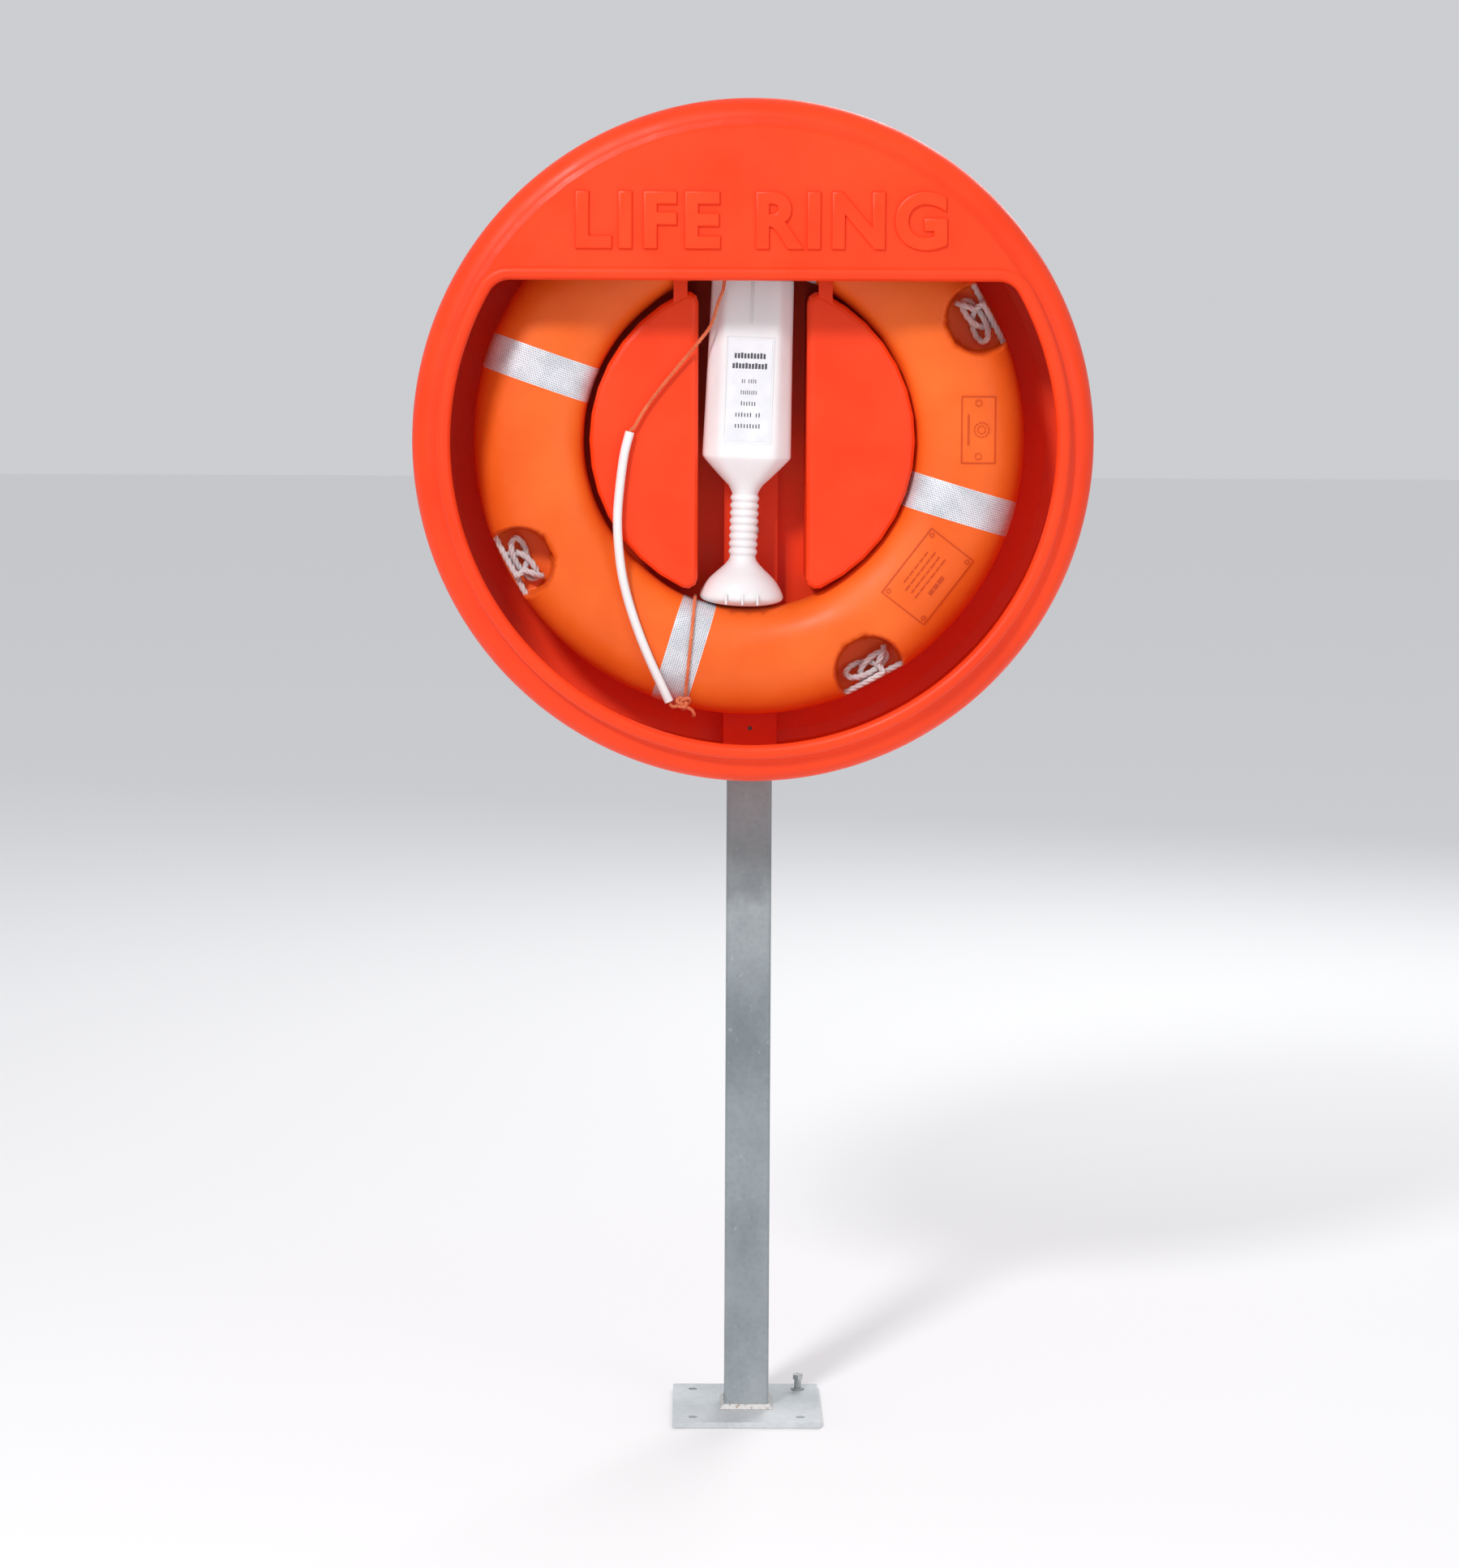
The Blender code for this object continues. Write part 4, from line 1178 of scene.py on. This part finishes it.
def closed_tube(name, line, radius, sides, finish):
    shape = bmesh.new()
    uv = shape.loops.layers.uv.new("UVMap")
    skin_tube(shape, uv, line, radius, sides, closed=True)
    return piece_from(shape, name, finish)


lip_line = smooth_line(lip_outline(0.2303), 0.006, closed=True)
lip_bead = closed_tube("lip_bead", lip_line, 0.0094, 20, housing_plastic)
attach(lip_bead, "station")
print("lip bead faces:", len(lip_bead.data.polygons))

# %% [markdown]
# ## Metal finishes
#
# Hot-dip zinc is never one grey. Crystals of zinc give it a fine spangle,
# runs and patches give it cloudy darker and lighter areas, and it dulls with
# age. Three noises at very different sizes make that. The weld at the foot
# was dipped too, but it is chalky, with a little rust coming through.


# %% Galvanised steel
def paint_shadow_above(finish, source, height, soft, depth):
    """Painted shadow of the housing: darken a colour above a height, with a ragged edge between
    the two.
    """
    where = add_node(finish, "ShaderNodeTexCoord")
    split = add_node(finish, "ShaderNodeSeparateXYZ")
    wire(finish, where, "Object", split, "Vector")
    ragged = noise(finish, 14.0, 4.0, stretch=(1, 1, 0.6))
    nudge = add_node(finish, "ShaderNodeMath", operation="MULTIPLY_ADD")
    nudge.inputs[1].default_value = 0.16
    wire(finish, ragged, "Fac", nudge, 0)
    wire(finish, split, "Z", nudge, 2)
    edge = add_node(finish, "ShaderNodeMapRange", **{
        "From Min": height + 0.08 - soft, "From Max": height + 0.08 + soft})
    wire(finish, nudge, "Value", edge, "Value")
    return blend_colours(finish, source, depth, edge, "Result", kind="MULTIPLY")


def galvanised(name, dark, middle, light, rust=0.0, housing_shadow_above=None):
    made = new_finish(name, middle, 0.5, 0.35)
    clouds = noise(made, 5.0, 5.0, stretch=(1, 1, 0.55))
    base = ramp(made, clouds, "Fac", [(0.34, dark), (0.50, middle), (0.64, light)])
    spangle = add_node(made, "ShaderNodeTexVoronoi", Scale=130.0)
    wire(made, places(made), "Vector", spangle, "Vector")
    crystal = ramp(made, spangle, "Distance", [(0.0, (0.88, 0.88, 0.88)), (0.7, (1, 1, 1))])
    mixed = blend_colours(made, base, crystal, None, amount=0.75, kind="MULTIPLY")
    flecks = noise(made, 160.0, 4.0, stretch=(1, 1, 0.7))
    specks = ramp(made, flecks, "Fac", [(0.66, (0, 0, 0)), (0.90, (1, 1, 1))])
    mixed = blend_colours(made, mixed, (0.62, 0.66, 0.68), specks)
    if rust:
        stains = noise(made, 230.0, 5.0)
        spots = ramp(made, stains, "Fac", [(0.66 - rust, (0, 0, 0)), (0.80 - rust, (1, 1, 1))])
        mixed = blend_colours(made, mixed, (0.34, 0.22, 0.15), spots)
    # Painted shadow: the post's top is darkened above a height, where the housing's shade falls on
    # it.
    if housing_shadow_above:
        mixed = paint_shadow_above(made, mixed, housing_shadow_above, 0.015, (0.66, 0.66, 0.66))
    paint(made, mixed)
    emboss(made, (clouds, "Fac", 0.0006, 0.3), (flecks, "Fac", 0.0003, 0.45))
    uneven_gloss(made, 18.0, 0.40, 0.62)
    return made


# The post's top, just under the drum, carries a painted shadow of the housing.
post_zinc = galvanised("post_galvanised", (0.20, 0.235, 0.25), (0.31, 0.35, 0.365),
                       (0.44, 0.475, 0.49), housing_shadow_above=0.72)
plate_zinc = galvanised("plate_galvanised", (0.45, 0.485, 0.50), (0.56, 0.60, 0.615),
                        (0.66, 0.69, 0.70))
weld_zinc = galvanised("weld_galvanised", (0.50, 0.51, 0.50), (0.62, 0.63, 0.62),
                       (0.72, 0.72, 0.70), rust=0.12)


def bright_zinc():
    made = new_finish("bright_zinc", (0.52, 0.54, 0.54), 0.34, 0.85)
    cloud_paint(made, 160.0, 3.0, (0.3, (0.38, 0.40, 0.40)), (0.7, (0.60, 0.61, 0.60)))
    emboss(made, (noise(made, 1200.0, 2.0), "Fac", 0.00005, 0.5))
    uneven_gloss(made, 200.0, 0.26, 0.50)
    return made


fastener_zinc = bright_zinc()
print("metal finishes ready")

# %% [markdown]
# ## Dress the frame's own pieces
#
# Pieces whose solid already has the right shape keep it, and only take a new
# material. Each is assigned through the object's slots; nothing is moved.

# %% Hand out the finishes
cap_rubber = plastic_finish("cap_black_plastic", (0.018, 0.018, 0.018), (0.032, 0.032, 0.033),
                            0.45, 0.60)
foam = new_finish("cream_foam", (0.80, 0.70, 0.48), 0.9)
foam_cells = cloud_paint(foam, 600.0, 3.0, (0.3, (0.70, 0.60, 0.38)), (0.7, (0.84, 0.75, 0.54)))
emboss(foam, (foam_cells, "Fac", 0.0005, 0.6))

finish_for = {
    "base_plate": plate_zinc, "post": post_zinc, "foot_weld": weld_zinc,
    "post_cap": cap_rubber, "housing": housing_plastic, "foam_core": foam,
    "fill_plug": ring_plastic, "line_holder_lid": holder_plastic, "line_pack": orange_line,
    "anchor_bolt": fastener_zinc, "anchor_sleeve": fastener_zinc,
    "anchor_washer": fastener_zinc,
}
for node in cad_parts:
    if node.startswith("fixing_"):
        finish_for[node] = fastener_zinc
for node, chosen in finish_for.items():
    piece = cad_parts[node]
    for material_slot in piece.material_slots:
        material_slot.link = "OBJECT"
        material_slot.material = chosen
print("finishes handed out:", len(finish_for))

# %% [markdown]
# ## Floor and light
#
# The stage is a wide pale floor under a plain pale sky, so nothing competes
# with the object. One large soft lamp high on the left gives the form its
# shading, a weaker one fills from the right, and one behind keeps the back
# readable from other sides.

# %% The floor
floor_finish = new_finish("pale_floor", (0.92, 0.92, 0.92), 0.9)
floor_shape = bmesh.new()
bmesh.ops.create_grid(floor_shape, x_segments=1, y_segments=1, size=30.0)
floor = piece_from(floor_shape, "floor", floor_finish, smooth=False)
floor.location.z = -0.0005
print("floor size:", [round(v, 1) for v in floor.dimensions[:2]], "m")


# %% The lamps and the sky
def soft_lamp(name, at, aim, size, power):
    lamp = bpy.data.lights.new(name, "AREA")
    lamp.shape = "DISK"
    lamp.size = size
    lamp.energy = power
    made = bpy.data.objects.new(name, lamp)
    bpy.context.scene.collection.objects.link(made)
    away = Vector(aim) - Vector(at)
    made.location = at
    made.rotation_euler = away.to_track_quat("-Z", "Y").to_euler()
    print(name, "at", at)


soft_lamp("key", (-1.9, -4.4, 4.3), (0, -0.1, 1.2), 0.9, 174)
soft_lamp("fill", (3.2, -4.0, 1.6), (0, -0.1, 1.2), 2.4, 26)
soft_lamp("back", (1.5, 4.2, 3.6), (0, 0.0, 1.2), 2.6, 80)
sky = bpy.data.worlds.new("pale_sky")
sky.use_nodes = True
sky.node_tree.nodes["Background"].inputs["Color"].default_value = (0.95, 0.96, 1.0, 1)
sky.node_tree.nodes["Background"].inputs["Strength"].default_value = 0.64
bpy.context.scene.world = sky

# %% [markdown]
